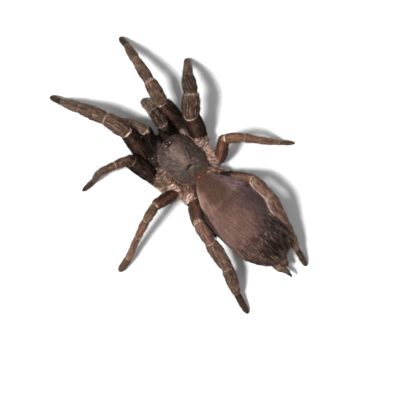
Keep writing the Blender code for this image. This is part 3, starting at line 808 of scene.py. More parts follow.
        # Painted shade: the sides and the belly of a limb are darker than its back.
        colour = colour * (0.66 + 0.34 * np.clip(np.sin(theta) * 1.25, -0.6, 1.0))[:, None]
        hips = self.flank(spots, limb.hip_tone)
        if limb.name in self.PLEATED:
            hips = blend(hips, limb.hip_tone * 0.8, 0.55)
        colour = np.where((segment == Segment.COXA.value)[:, None], hips, colour)
        return self.rimmed(limb, spots, colour) if rims else colour

    @staticmethod
    def lane(limb: Limb) -> float:
        """Return a number that gives each limb strands of its own."""
        return limb.hip[0] + 7.3 * limb.pair

    def hair_lines(self, limb: Limb, spots: Spots) -> Array:
        """Draw the broken pale lines of hair along a limb.

        Args:
            limb: The leg or palp.
            spots: Where the points are.

        Returns:
            One strength from 0 to 1 for each point.
        """
        lane = self.lane(limb)
        lines = np.zeros(len(spots.place))
        for k, degrees in enumerate(self.LINE_ANGLES):
            broken = STRANDS.over(spots.arc / 1.3, lane + k * 5.1, 0.0)
            wander = 0.16 * (STRANDS.over(spots.arc / 2.2, lane + k * 3.7, lane * 2) - 0.5)
            line = bell(spots.theta + wander, math.radians(degrees), 0.055)
            lines = np.maximum(lines, line * ramp(broken, 0.42, 0.66))
        return lines

    def hem(self, limb: Limb, spots: Spots) -> Array:
        """Return how strong the frayed pale seam along a limb's side is, from 0 to 1."""
        place, side = spots.place, 0.55
        seam = bell(spots.theta, side, 0.17) * ramp(place, 1.9, 2.2) * (1 - ramp(place, 3.5, 3.9))
        frayed = STRANDS.over(spots.arc / 0.8, spots.theta * 6, self.lane(limb))
        knots = bell(spots.theta, side, 0.34) * (bell(place, 2.04, 0.05) + bell(place, 3.02, 0.04))
        return np.clip(seam * (0.55 + 0.8 * frayed) + knots, 0, 1)

    def rimmed(self, limb: Limb, spots: Spots, colour: Array) -> Array:
        """Draw the rims of a limb.

        Args:
            limb: The leg or palp.
            spots: Where the points are.
            colour: The colours without rims.

        Returns:
            The colours with the pale rim and the painted shadow beyond it at every joint.
        """
        faded = ramp(np.sin(spots.theta), -0.35, 0.25)
        for joint, strength in enumerate(limb.rings, start=1):
            here = np.abs(spots.place - joint) < self.NEAR_JOINT
            if not here.any():
                continue
            beyond = (spots.arc - self.rim_arc(limb, joint, spots.theta)) * spots.stretch
            # Painted shadow: the crease beyond the rim is darkened.
            edged = blend(colour, self.SEAM, bell(beyond, 0.50, 0.32) * 0.7 * faded)
            strength = strength * faded
            wear = STRANDS.over(spots.theta * 2.4, self.lane(limb) + joint * 7.3, 0.0)
            ring = bell(beyond, 0.0, 0.13 + 0.05 * strength) * strength
            edged = blend(edged, self.CREAM, ring * (0.45 + 1.2 * ramp(wear, 0.3, 0.7)))
            if joint == 1 and limb.name in self.PLEATED:
                # The soft skin of the hip lies in a few folds before the femur, with a painted highlight on
                # each crest.
                edged = self.pleated(edged, beyond, faded)
            colour = np.where(here[:, None], edged, colour)
        return colour

    def pleats(self, beyond: Array) -> Array:
        """Return 1 on the crests of the folds before a femur and 0 away from them."""
        return sum(bell(beyond, place, 0.19) for place in self.PLEATS)

    def pleated(self, colour: Array, beyond: Array, faded: Array) -> Array:
        """Return a hip's colours: rust-red skin darkened as painted shade between its folds, and a painted
        highlight on their crests.
        """
        zone = ramp(beyond, -3.3, -2.8) * (1 - ramp(beyond, -0.2, 0.0)) * faded
        # Rust-red skin, darkened as painted shade between the folds, and a painted highlight on their crests.
        colour = blend(colour, self.RUST, zone * 0.75)
        return blend(colour, self.PLEAT, self.pleats(beyond) * faded * 0.9)

    def rim_arc(self, limb: Limb, joint: int, theta: Array) -> Array:
        """Return how far along a limb's spine the pale rim of a joint lies (mm)."""
        set_back = 0.9 if joint == Segment.PATELLA.value else -0.5
        return run_of(limb.corners())[joint] + set_back * (1 - np.clip(np.sin(theta), 0, 1)) ** 2

    def abdomen(self, spots: Spots) -> Array:
        """Colour the abdomen.

        Args:
            spots: Where the points are.

        Returns:
            One linear colour for each point.
        """
        run, theta = spots.place, spots.theta
        top = np.sin(theta)
        rightness = -np.cos(theta)
        points = spots.points
        copper = tint(116, 88, 78)
        lit_rose = tint(132, 100, 90)
        shaded_plum = tint(88, 70, 68)
        lilac = tint(128, 104, 110)
        bark = tint(78, 56, 43)
        # Painted light: the left front is lighter and rosier, partly the coat's colour.
        colour = blend(copper, lit_rose, ramp(-rightness, 0.10, 0.70) * (1 - ramp(run, 0.25, 0.66)))
        # Plum-grey towards the right and the rear: the coat's colour, with painted shade on the right side.
        shaded_plum_share = ramp(rightness + 0.8 * ramp(run, 0.56, 0.86), 0.0, 0.62)
        colour = blend(colour, shaded_plum, shaded_plum_share * ramp(run, 0.16, 0.5))
        # Painted sheen: a lilac sheen across the right front.
        sheen = bell(rightness, 0.84, 0.26) * bell(run, 0.21, 0.12)
        fine = STRANDS.over(spots.arc / 2.8, theta * 24.0, 9.0)
        colour = blend(colour, lilac * 1.15, sheen * (0.45 + 0.9 * ramp(fine, 0.40, 0.70)))
        cloud = MOTTLE.at(points / MM / 3.2)
        patch = 0.36 - run - 0.34 * np.abs(rightness - 0.02) ** 1.5 + 0.22 * (cloud - 0.5)
        patch = ramp(patch, -0.08, 0.20)
        worn = 0.55 + 0.30 * MOTTLE.at(points / MM / 1.2) + 0.30 * fine
        colour = blend(colour, bark, patch * worn * ramp(top, 0.1, 0.5))
        colour = blend(colour, tint(112, 72, 54), (1 - ramp(run, 0.02, 0.09)) * 0.7)
        # Painted highlight along the far left side of the abdomen, where the light falls.
        edge = ramp(-rightness, 0.86, 0.98) * bell(run, 0.16, 0.10) * ramp(top, -0.2, 0.2)
        colour = blend(colour, tint(196, 164, 148), edge * 0.6)
        rear = ramp(run + 0.06 * rightness, 0.64, 0.90)
        colour = blend(colour, tint(75, 57, 46), rear * 0.80)
        strand = STRANDS.over(spots.arc / 2.6 + 40, theta * 14.0, 4.0)
        # Painted shadow in the gaps between the long strands at the rear.
        colour = colour * (1 - 0.66 * rear * ramp(0.44 - strand, 0.0, 0.20))[:, None]
        colour = blend(colour, tint(160, 128, 96), ramp(strand, 0.56, 0.80) * rear * 0.62)
        depth = 0.16 + 0.36 * ramp(run, 0.05, 0.35)
        colour = colour * (1 + depth * (2 * fine - 1) / 2)[:, None]
        colour = self.mottled(colour, points, 1.1, 0.08)
        # Painted highlight along the abdomen's left front rim.
        rim = ramp(0.27 - run, 0.0, 0.16) * ramp(-rightness, 0.70, 0.96) * (0.25 + 0.9 * fine)
        colour = blend(colour, tint(178, 146, 126), rim * 0.8)
        belly = ramp(-top, 0.1, 0.8)
        return blend(colour, tint(78, 60, 52), belly * 0.8)

    def spinneret(self, spots: Spots) -> Array:
        """Return the colours of a spinneret, whose joints are pale."""
        colour = blend(tint(122, 98, 82), tint(92, 76, 68), ramp(spots.place, 0.60, 0.85))
        colour = blend(colour, tint(172, 150, 128), bell(spots.place, 0.40, 0.04) * 0.6)
        return self.mottled(colour, spots.points, 0.7, 0.25)

    def shield(self, points: Array) -> Array:
        """Colour the shield.

        Args:
            points: Points on the shield, in metres.

        Returns:
            One linear colour for each point.
        """
        x = (points[:, 0] - self.origin[0]) / MM
        y = (points[:, 1] - self.origin[1]) / MM
        slate = tint(70, 57, 52)
        pale = tint(112, 93, 81)
        dark = tint(36, 28, 25)
        colour = slate * (1.06 - 0.26 * ramp(-x, 0.5, 3.5) * ramp(-y, -1.0, 2.0))[:, None]
        head = bell(x, 0.0, 1.2 + 0.17 * np.clip(-y, 0, 9)) * ramp(-y, -0.5, 2.0) * (1 - ramp(-y, 8.0, 10.5))
        colour = blend(colour, pale * 1.12, head * 0.75)
        crest = bell(x + 0.4, 0.0, 0.35) * ramp(-y, 2.0, 4.0) * (1 - ramp(-y, 7.0, 9.5))
        colour = blend(colour, pale, crest * 0.5)
        for sign in (-1, 1):
            groove = np.abs(sign * x - self.cervical(y))
            broken = ramp(MOTTLE.over(x / 1.1, y / 1.1, sign / 1.1), 0.35, 0.6)
            on = ramp(-y, 0.8, 2.2) * (1 - ramp(-y, 6.4, 8.2)) * (0.35 + 0.65 * broken)
            colour = blend(colour, dark, bell(groove, 0.0, 0.26) * on * 0.55)
            colour = blend(colour, pale, bell(groove, 0.45, 0.22) * on * 0.35)
        turn = np.arctan2(x, -y)
        out = np.hypot(x, y)
        ray = STRANDS.over(turn * 15.0, out / 3.4, 1.5)
        colour = colour * (0.60 + 0.80 * ray)[:, None]
        colour = self.mottled(colour, points, 0.50, 0.30)
        colour = self.mottled(colour, points, 1.3, 0.25)
        fleck = MOTTLE.at(points / MM / 0.62 + 9.0)
        colour = blend(colour, dark, ramp(fleck, 0.66, 0.82) * 0.45)
        colour = blend(colour, pale * 1.25, ramp(0.34 - fleck, 0.0, 0.16) * 0.28)
        pit = np.hypot(x / 1.2, (y - 0.22 * x * x) / 0.40)
        colour = blend(colour, tint(16, 12, 12), (1 - ramp(pit, 0.75, 1.35)) * 0.95)
        lip = bell(x, -0.5, 1.1) * bell(y - 0.22 * x * x, 0.74, 0.17)
        colour = blend(colour, tint(150, 130, 116), lip * 0.55)
        rear = ramp(y, 3.0, 5.2) * bell(x, -0.7, 3.4)
        colour = blend(colour, tint(104, 68, 52), rear * 0.85)
        spot = bell(y, 5.10, 0.26) * bell(x, 0.15, 0.28)
        return blend(colour, tint(214, 118, 84), spot)

    @staticmethod
    def cervical(y: Array) -> Array:
        """Return how far from the midline the groove beside the head lies (mm)."""
        return 0.9 + 0.42 * np.clip(-y - 1.0, 0, 9) ** 1.05


# ---- meshes ----
def new_object(name: str, mesh: Mesh, material: Material) -> Object:
    """Link a mesh to the scene as a smooth piece with one material.

    Args:
        name: Name of the piece.
        mesh: Its mesh, already in place.
        material: Its material.

    Returns:
        The new object.
    """
    mesh.shade_smooth()
    mesh.materials.clear()
    mesh.materials.append(material)
    piece = bpy.data.objects.new(name, mesh)
    bpy.context.scene.collection.objects.link(piece)
    log.info("%s: %d faces", name, len(mesh.polygons))
    return piece


def mesh_of(name: str, bm: BMesh) -> Mesh:
    """Return a new mesh with what a bmesh holds, and free the bmesh."""
    mesh = bpy.data.meshes.new(name)
    bm.to_mesh(mesh)
    bm.free()
    return mesh


def mesh_rows(mesh: Mesh, what: str = "co") -> Array:
    """Return the places of a mesh's vertices, or what else each one has, as rows of three."""
    flat = np.zeros(len(mesh.vertices) * 3)
    mesh.vertices.foreach_get(what, flat)
    return flat.reshape(-1, 3)


def set_markings(mesh: Mesh, colours: Array) -> None:
    """Store one linear colour for each vertex."""
    layer = mesh.attributes.new("Markings", "FLOAT_COLOR", "POINT")
    layer.data.foreach_set("color", np.column_stack((colours, np.ones(len(colours)))).ravel())


@dataclass
class Shield:
    """The hard shield over the front body, with its grooves and the pit in its middle."""

    origin: Array
    markings: Markings
    around: int = 180
    outward: int = 56
    inset: float = 0.22          # how far its rim lies inside the solid's, mm
    drop: float = 0.16           # depth of its short hair, mm
    crowding: float = 1.35       # how much closer its rows lie towards the rim
    underside: float = 0.985     # size of the flat underside against the rim

    def outline(self, turn: Array) -> Array:
        """Return the x and y of the rim (mm) at angles from straight ahead."""
        squareness = np.where(np.cos(turn) > 0, SQUARENESS[0], SQUARENESS[1])
        reach = (np.abs(np.sin(turn)) ** squareness + np.abs(np.cos(turn)) ** squareness) ** (-1 / squareness)
        return np.stack((reach * np.sin(turn) * (SHIELD_SIZE[0] / 2 - self.inset),
                         SHIELD_CENTRE_Y - reach * np.cos(turn) * (SHIELD_SIZE[1] / 2 - self.inset)), axis=1)

    def height(self, x: Array, y: Array, edge: Array) -> Array:
        """Return the height of the shield's top (mm).

        Args:
            x: Offsets from the midline (mm).
            y: Offsets along the body (mm).
            edge: 0 in the middle and 1 at the rim.

        Returns:
            The height at each point.
        """
        dome = SHIELD_DOME * (1 - edge ** 2.6)
        forward = np.clip((0.5 - y) / 10, 0, 1)
        half = 1.5 + 3.2 * forward
        caput = CAPUT_RISE * forward ** 0.7 * np.exp(-((x / half) ** 4)) * (1 - edge ** 4)
        pit = 0.75 * np.exp(-((x / 1.35) ** 4 + ((y - 0.19 * x * x) / 0.42) ** 2))
        height = SHIELD_RIM_Z + SHIELD_RIM_DEPTH - self.drop + dome + caput - pit
        for sign in (-1, 1):
            groove = bell(sign * x - Markings.cervical(y), 0.0, 0.45)
            height = height - 0.22 * groove * ramp(-y, 0.6, 2.4) * (1 - ramp(-y, 6.8, 9.0))
        turn = np.arctan2(x, -y)
        waves = np.cos(turn * 10) * bell(edge, 0.55, 0.28) * ramp(np.hypot(x, y), 2.0, 4.0)
        return height + 0.07 * waves

    def points(self, edge: Array, turn: Array) -> Array:
        """Return points of the top, in metres, from their share of the way out and their angle."""
        rim = self.outline(turn)
        x = rim[:, 0] * edge
        y = SHIELD_CENTRE_Y + (rim[:, 1] - SHIELD_CENTRE_Y) * edge
        return np.stack((x, y, self.height(x, y, edge)), axis=1) * MM + self.origin

    def build(self, material: Material) -> Object:
        """Make the shield as a closed shell.

        Args:
            material: Its material.

        Returns:
            The shield.
        """
        bm = bmesh.new()
        verts, rows, turn = grid_round(bm, self.outward, self.around)
        edge = 1 - (1 - rows / self.outward) ** self.crowding
        for vert, point in zip(verts, self.points(edge, turn)):
            vert.co = point
        bmesh.ops.remove_doubles(bm, verts=bm.verts, dist=WELD * 5)
        rim = [e for e in bm.edges if e.is_boundary]
        skirt = bmesh.ops.extrude_edge_only(bm, edges=rim)["geom"]
        for vert in (item for item in skirt if isinstance(item, BMVert)):
            centre = Vector(self.origin) + Vector((0, SHIELD_CENTRE_Y, 0)) * MM
            vert.co.x, vert.co.y = centre.lerp(vert.co, self.underside).xy
            vert.co.z = self.origin[2] + SHIELD_RIM_Z * MM
        bmesh.ops.holes_fill(bm, edges=[e for e in bm.edges if e.is_boundary], sides=0)
        bmesh.ops.recalc_face_normals(bm, faces=bm.faces)
        mesh = mesh_of("shield", bm)
        set_markings(mesh, self.markings.shield(mesh_rows(mesh)))
        return new_object("shield", mesh, material)

    def edge_of(self, points: Array) -> Array:
        """Return how far out points lie, from 0 in the middle to 1 at the rim."""
        x = np.abs(points[:, 0] - self.origin[0]) / MM / (SHIELD_SIZE[0] / 2 - self.inset)
        ahead = (SHIELD_CENTRE_Y - (points[:, 1] - self.origin[1]) / MM) / (SHIELD_SIZE[1] / 2 - self.inset)
        squareness = np.where(ahead > 0, SQUARENESS[0], SQUARENESS[1])
        return np.clip((x ** squareness + np.abs(ahead) ** squareness) ** (1 / squareness), 0, 1)


@dataclass
class Skin:
    """One closed skin over all the flesh."""

    plan: BodyPlan
    markings: Markings
    sides: int = 30
    relaxing: int = 3            # passes that smooth the joined surface
    depth: float = 0.22          # height of its wrinkles between the hips, mm
    tree: BVHTree = None

    def build(self, material: Material) -> Object:
        """Merge the tubes into one surface, relax it, fold it and colour it.

        Args:
            material: Its material.

        Returns:
            The skin.
        """
        bm = bmesh.new()
        for tube in self.plan.tubes:
            tube.add_shell(bm, self.sides)
        bmesh.ops.recalc_face_normals(bm, faces=bm.faces)
        mould = bpy.data.objects.new("flesh", mesh_of("flesh", bm))
        bpy.context.scene.collection.objects.link(mould)
        remesh = mould.modifiers.new("one_surface", "REMESH")
        remesh.mode = "VOXEL"
        remesh.voxel_size = VOXEL
        depsgraph = bpy.context.evaluated_depsgraph_get()
        merged = bpy.data.meshes.new_from_object(mould.evaluated_get(depsgraph))
        bpy.data.objects.remove(mould)
        merged.name = "skin"
        bm = bmesh.new()
        bm.from_mesh(merged)
        for _ in range(self.relaxing):
            bmesh.ops.smooth_vert(bm, verts=bm.verts, factor=0.5, use_axis_x=True, use_axis_y=True,
                                  use_axis_z=True)
        bm.to_mesh(merged)
        bm.free()
        points, normals = mesh_rows(merged), mesh_rows(merged, "normal")
        colours = np.zeros_like(points)
        lift = np.zeros(len(points))
        for tube, chosen, rows, theta in SkinMap(self.plan.tubes).locate(points):
            spots = tube.spots(rows, theta, points[chosen])
            colours[chosen] = self.markings.colour(tube.name, spots)
            lift[chosen] = self.folds(tube.name, spots)
        points = points + normals * (lift * MM)[:, None]
        points[:, 2] = np.maximum(points[:, 2], FLOOR_CLEARANCE)
        merged.vertices.foreach_set("co", points.ravel())
        merged.update()
        set_markings(merged, colours)
        self.tree = BVHTree.FromPolygons(points.tolist(), [tuple(p.vertices) for p in merged.polygons])
        return new_object("skin", merged, material)

    def folds(self, name: str, spots: Spots) -> Array:
        """Work out how far the wrinkles raise the skin.

        Args:
            name: Name of the part.
            spots: Where the points are.

        Returns:
            The height in mm for each point.
        """
        ridge = self.markings.wrinkled(spots.points) - 0.5
        limb = self.markings.limbs.get(name)
        if limb:
            raised = ridge * self.depth * (1 - ramp(spots.place, 0.75, 1.05))
            if name in self.markings.PLEATED:
                beyond = (spots.arc - self.markings.rim_arc(limb, 1, spots.theta)) * spots.stretch
                near = np.abs(spots.place - 1) < self.markings.NEAR_JOINT
                raised = raised + 0.16 * self.markings.pleats(beyond) * near
            return raised
        if name in ("core", "pleura"):
            return ridge * self.depth
        return np.zeros(len(spots.place))


# ---- the coat ----
ALL_ROUND = (0.0, 360.0)           # angles round a tube, degrees
TOP_HALF = (0.0, 180.0)
BAND_EDGE = 0.02                   # share of a tube's band of the unwrap before its first row
BAND_WIDTH = 0.96                  # share of the band that its rows take
SIDES = ("left", "right")


@dataclass(frozen=True)
class Hair:
    """How one kind of hair grows."""

    density: float               # tufts to a square millimetre
    length: float                # mm
    thickness: float             # mm, across the widest place
    lift: float = 16.0           # degrees off the skin near the root
    droop: float = 10.0          # degrees by which the tip bends back to the skin
    stray: float = 10.0          # degrees that directions vary to the sides
    uneven: float = 0.30         # share by which lengths vary
    shade: float = 0.28          # share by which brightness varies
    dark: float = 0.0            # share of the tufts that are much darker
    pale: float = 0.0            # share of the tufts that are much paler
    sink: float = 0.06           # how deep the root is set, mm
    parted: bool = False         # whether it stops short of a limb's pale rims


@dataclass
class Roots:
    """Roots of tufts, with what each tuft needs."""

    points: Array
    normals: Array
    lie: Array
    colours: Array
    place: Array                 # where each root is on an unwrap of its part, 0 to 1
    scale: Array                 # size of each tuft against the kind's own
    lift: Array                  # extra degrees off the skin

    def chosen(self, kept: Array) -> "Roots":
        """Return only some of the roots."""
        return Roots(*(getattr(self, each.name)[kept] for each in fields(self)))


@dataclass
class Coat:
    """One coat piece: solid tufts joined in one mesh."""

    name: str
    bounds: tuple[Array, Array]
    seed: int
    patch: float = 0.0015        # half the size of a tuft's patch on the unwrap
    parts: list = field(default_factory=list)

    # A tuft is a spindle: a root, three corners round its belly and a tip.
    FACES = np.array(((0, 2, 1), (0, 3, 2), (0, 1, 3), (4, 1, 2), (4, 2, 3), (4, 3, 1)))
    CORNERS = np.radians((90.0, 210.0, 330.0))
    SPREAD = np.array(((-1, 0), (0, 1), (-0.5, -0.87), (0.5, -0.87), (1, 0)))    # on the unwrap
    TO_BELLY, TO_TIP = 0.42, 0.58      # shares of the length, below and above the belly
    # Painted shade darkens each tuft at its root, inside the coat, and painted light brightens its tip.
    ROOT_LIGHT, TIP_LIGHT = 0.55, 1.15
    DARK, PALE, PALE_ADDED = 0.45, 1.75, 0.05      # of the much darker and the much paler tufts

    def grow(self, roots: Roots, hair: Hair) -> None:
        """Grow tufts of one kind of hair from their roots.

        Args:
            roots: The roots.
            hair: The kind of hair.
        """
        rng = np.random.default_rng(self.seed + len(self.parts))
        count = len(roots.points)
        turn = np.radians(rng.normal(0, hair.stray, count))
        side = np.cross(roots.normals, roots.lie)
        lie = roots.lie * np.cos(turn)[:, None] + side * np.sin(turn)[:, None]
        side = np.cross(roots.normals, lie)
        size = roots.scale * (1 + hair.uneven * rng.uniform(-1, 1, count))
        length = hair.length * MM * size
        steep = np.radians(hair.lift + roots.lift + rng.normal(0, 4, count))
        flat = steep - np.radians(hair.droop * 2)

        def toward(angle: Array) -> Array:
            """Return the direction that rises from the skin by an angle."""
            return lie * np.cos(angle)[:, None] + roots.normals * np.sin(angle)[:, None]

        base = roots.points - roots.normals * hair.sink * MM
        belly = base + toward(steep) * (length * self.TO_BELLY)[:, None]
        tip = belly + toward(flat) * (length * self.TO_TIP)[:, None]
        radius = hair.thickness * MM / 2 * (0.75 + 0.5 * rng.random(count))
        over = np.cross(side, toward(steep))
        verts = np.empty((count, 5, 3))
        verts[:, 0], verts[:, 4] = base, tip
        for k, corner in enumerate(self.CORNERS, start=1):
            spoke = side * math.cos(corner) + over * math.sin(corner)
            verts[:, k] = belly + spoke * radius[:, None]
        verts = np.clip(verts, *self.bounds)
        shade = 1 + hair.shade * rng.uniform(-1, 1, count)
        tones = roots.colours * shade[:, None]
        pick = rng.random(count)
        tones = np.where((pick < hair.dark)[:, None], tones * self.DARK, tones)
        paler = tones * self.PALE + self.PALE_ADDED
        tones = np.where((pick > 1 - hair.pale)[:, None], paler, tones)
        colours = np.repeat(tones[:, None, :], 5, axis=1)
        colours[:, 0] *= self.ROOT_LIGHT
        colours[:, 4] *= self.TIP_LIGHT
        place = np.clip(roots.place[:, None, :] + self.SPREAD * self.patch, 0, 1)
        self.parts.append((verts, colours, place))

    def build(self, material: Material) -> Object:
        """Join the tufts in one mesh.

        Args:
            material: Its material.

        Returns:
            The coat piece.
        """
        verts, colours, place = (np.concatenate(column) for column in zip(*self.parts))
        count = len(verts)
        faces = (self.FACES[None] + 5 * np.arange(count)[:, None, None]).reshape(-1, 3)
        mesh = bpy.data.meshes.new(self.name)
        mesh.from_pydata(verts.reshape(-1, 3), [], faces)
        set_markings(mesh, np.clip(colours.reshape(-1, 3), 0, 1))
        layer = mesh.uv_layers.new(name="OFBake")
        layer.data.foreach_set("uv", place.reshape(-1, 2)[faces.ravel()].ravel())
        return new_object(self.name, mesh, material)


@dataclass
class Groomer:
    """Plants roots on the skin and on the shield, and grows hair from them."""

    skin: Skin
    shield: Shield
    markings: Markings
    seed: int = 700
    reach: float = 0.40          # a root further than this from the skin is hidden (mm)

    SHORTEST = 0.22              # hair cut to less than this share of its length isn't grown
    RIM_SHARE = 0.61             # share of the way round a joint on which its rim shows
    SHIELD_AREA = 232            # mm2
    SHIELD_GIRTH = 52            # mm

    def rng(self) -> np.random.Generator:
        """Return the next generator of random values."""
        self.seed += 1
        return np.random.default_rng(self.seed)

    def settle(self, points: Array, normals: Array) -> tuple[Array, Array, Array]:
        """Move points onto the skin.

        Args:
            points: Points near the skin.
            normals: The outward directions that they should have.

        Returns:
            Which points are on the open skin, and their places and normals there.
        """
        tree, reach = self.skin.tree, self.reach * MM
        kept = np.zeros(len(points), bool)
        places, outward = points.copy(), normals.copy()
        for i, point in enumerate(points):
            place, normal, _, _ = tree.find_nearest(point, reach)
            if place is not None and normal.dot(Vector(normals[i])) > 0.3:
                kept[i] = True
                places[i], outward[i] = place, normal
        return kept, places, outward

    def planted(self, tube: Tube, row: Array, theta: Array, cell: tuple[int, int],
                wanted: Array | bool = True) -> tuple[Roots, Spots]:
        """Set roots on the skin over places of a tube.

        Args:
            tube: The tube.
            row: Row numbers along it.
            theta: Angles round it.
            cell: Which band of the unwrap the tube takes, and of how many.
            wanted: Which of the places may have a root.

        Returns:
            The roots on the open skin, still without colours, and where on the part they are.
        """
        kept, places, outward = self.settle(tube.surface(row, theta), tube.normals(row, theta))
        kept = kept & wanted
        row, theta, places, outward = row[kept], theta[kept], places[kept], outward[kept]
        band, bands = cell
        turn = 0.01 + 0.98 * (theta % (2 * math.pi)) / (2 * math.pi)
        run = band + BAND_EDGE + BAND_WIDTH * row / (len(tube.place) - 1)
        unwrap = np.stack((turn, run / bands), axis=1)
        lie = laid_on(tube.read(tube.along, row), outward)
        roots = Roots(places, outward, lie, np.zeros_like(places), unwrap, np.ones(len(row)),
                      np.zeros(len(row)))
        return roots, tube.spots(row, theta, places)

    def on_tube(self, name: str, hair: Hair, span: tuple[float, float], cell: tuple[int, int],
                turns: tuple[float, float] = ALL_ROUND) -> Roots:
        """Plant roots on a tube's part of the skin.

        Args:
            name: Name of the tube.
            hair: The kind of hair that they are for.
            span: First and last place along the tube.
            cell: Which band of the unwrap this tube takes, and of how many.
            turns: First and last angle round the tube, degrees.

        Returns:
            The roots.
        """
        rng = self.rng()
        tube = self.skin.plan.named(name)
        around = math.pi * (tube.wide + tube.high) / MM
        rows = np.arange(len(tube.place))
        first, last = np.interp(span, tube.place, rows)
        weight = around * np.gradient(tube.arc) * ((rows >= first) & (rows <= last))
        share = (turns[1] - turns[0]) / 360
        count = int(weight.sum() * hair.density * share)
        grid = np.concatenate(((0.0,), np.cumsum(weight) / weight.sum()))
        row = np.clip(np.interp(rng.random(count), grid, np.arange(len(grid))) - 0.5, first, last)
        theta = np.radians(turns[0] + (turns[1] - turns[0]) * rng.random(count))
        roots, spots = self.planted(tube, row, theta, cell)
        if hair.parted:
            limb = self.markings.limbs[name]
            for joint in range(1, len(limb.rings) + 1):
                short = self.markings.rim_arc(limb, joint, spots.theta) - spots.arc
                behind = (short > -0.05) & (np.abs(spots.place - joint) < 0.9)
                shorter = np.minimum(roots.scale, (short + 0.12) / hair.length)
                roots.scale = np.where(behind, shorter, roots.scale)
        roots.colours = self.markings.colour(name, spots, rims=False)
        return roots.chosen(roots.scale > self.SHORTEST)

    def cover(self, piece: Coat, hair: Hair, name: str, span: tuple[float, float],
              cell: tuple[int, int], turns: tuple[float, float] = ALL_ROUND) -> None:
        """Grow one kind of hair on a tube's part of the skin; on_tube says what the arguments are."""
        piece.grow(self.on_tube(name, hair, span, cell, turns), hair)

    def dress_limb(self, piece: Coat, name: str, cell: tuple[int, int]) -> None:
        """Grow the hair of a leg or a palp beyond its coxa.

        Args:
            piece: The coat piece that takes the hair.
            name: Name of the limb.
            cell: Which band of the unwrap the limb takes, and of how many.
        """
        limb = self.markings.limbs[name]
        is_palp = limb.pair == 0
        foot = float(len(limb.widths))
        self.cover(piece, SHORT, name, (1.0, foot), cell)
        self.cover(piece, FOOT_HAIR, name, (foot, foot + 1), cell)
        piece.grow(self.on_rims(limb, RIM_HAIR.density, cell), RIM_HAIR)
        self.cover(piece, SETAE, name, (1.1, foot + 0.6), cell)
        if not is_palp:
            self.cover(piece, LEG_TRESS, name, (1.1, foot), cell, TOP_HALF)
        if limb.pair < 3:
            for turns in ((-35.0, 30.0), (150.0, 215.0)):
                self.cover(piece, SIDE_HAIR, name, (1.0, 2.0 if is_palp else 1.9), cell, turns)

    def dress_hips(self, piece: Coat) -> None:
        """Grow the hair of the coxae and of the flesh between them.

        Args:
            piece: The coat piece that takes the hair.
        """
        between = ("core", "pleura", "fold_right", "fold_left")
        bands = len(LIMBS) + len(between)
        for k, limb in enumerate(LIMBS):
            pleated = limb.name in Markings.PLEATED
            last = 0.62 if pleated else 0.97
            if pleated:
                self.cover(piece, HIP_HAIR, limb.name, (last, 0.97), (k, bands), (185.0, 355.0))
            self.cover(piece, HIP_HAIR, limb.name, (0.15, last), (k, bands))
            self.cover(piece, HIP_TRESS, limb.name, (0.15, last - 0.05), (k, bands), TOP_HALF)
        for k, name in enumerate(between, start=len(LIMBS)):
            for hair, turns in ((HIP_HAIR, ALL_ROUND), (HIP_TRESS, TOP_HALF)):
                roots = self.on_tube(name, hair, (0.0, 1.0), (k, bands), turns)
                piece.grow(self.swept_out(roots), hair)

    def dress_shield(self, piece: Coat) -> None:
        """Grow the shield's short hair and the fringe along its rim.

        Args:
            piece: The coat piece that takes the hair.
        """
        fuzz = self.on_shield(SHIELD_HAIR.density)
        piece.grow(fuzz.chosen(Head.clear_of_eyes(fuzz.points, self.shield.origin)), SHIELD_HAIR)
        fringe = self.on_shield(FRINGE.density, rim=True)
        ahead = (self.shield.origin[1] - fringe.points[:, 1]) / MM
        fringe.colours = blend(tint(160, 130, 112), fringe.colours, ramp(ahead, 7.5, 10.0))
        fringe.lift -= 25
        piece.grow(fringe, FRINGE)

    def dress_rear(self, piece: Coat) -> None:
        """Grow the long hair at the abdomen's rear, its low fringe and the spinnerets' hair.

        Args:
            piece: The coat piece that takes the hair.
        """
        strands = self.on_tube("abdomen", LONG, (0.58, 1.0), (0, 3))
        run = (strands.place[:, 1] * 3 - BAND_EDGE) / BAND_WIDTH
        thick = ramp(run, 0.58, 0.84)
        piece.grow(strands.chosen(thick > self.rng().random(len(thick))), LONG)
        for turns, last in (((-60.0, -4.0), 0.46), ((184.0, 240.0), 0.8)):
            low = self.on_tube("abdomen", FRINGE_LOW, (0.1, last), (0, 3), turns)
            # The low fringe is darkened: partly its hair's colour, partly painted shade under the abdomen.
            low.colours = blend(low.colours, tint(50, 33, 25), 0.85)
            piece.grow(low, FRINGE_LOW)
        for k, side in enumerate(SIDES, start=1):
            self.cover(piece, TAIL_HAIR, f"spinneret_{side}", (0.0, 0.92), (k, 3))

    def swept_out(self, roots: Roots) -> Roots:
        """Return roots whose hair is combed away from the middle of the shield."""
        middle = self.shield.origin + np.array((0.0, SHIELD_CENTRE_Y, 0.0)) * MM
        away = unit((roots.points - middle) * (1.0, 0.6, 0.0))
        return replace(roots, lie=laid_on(away, roots.normals))

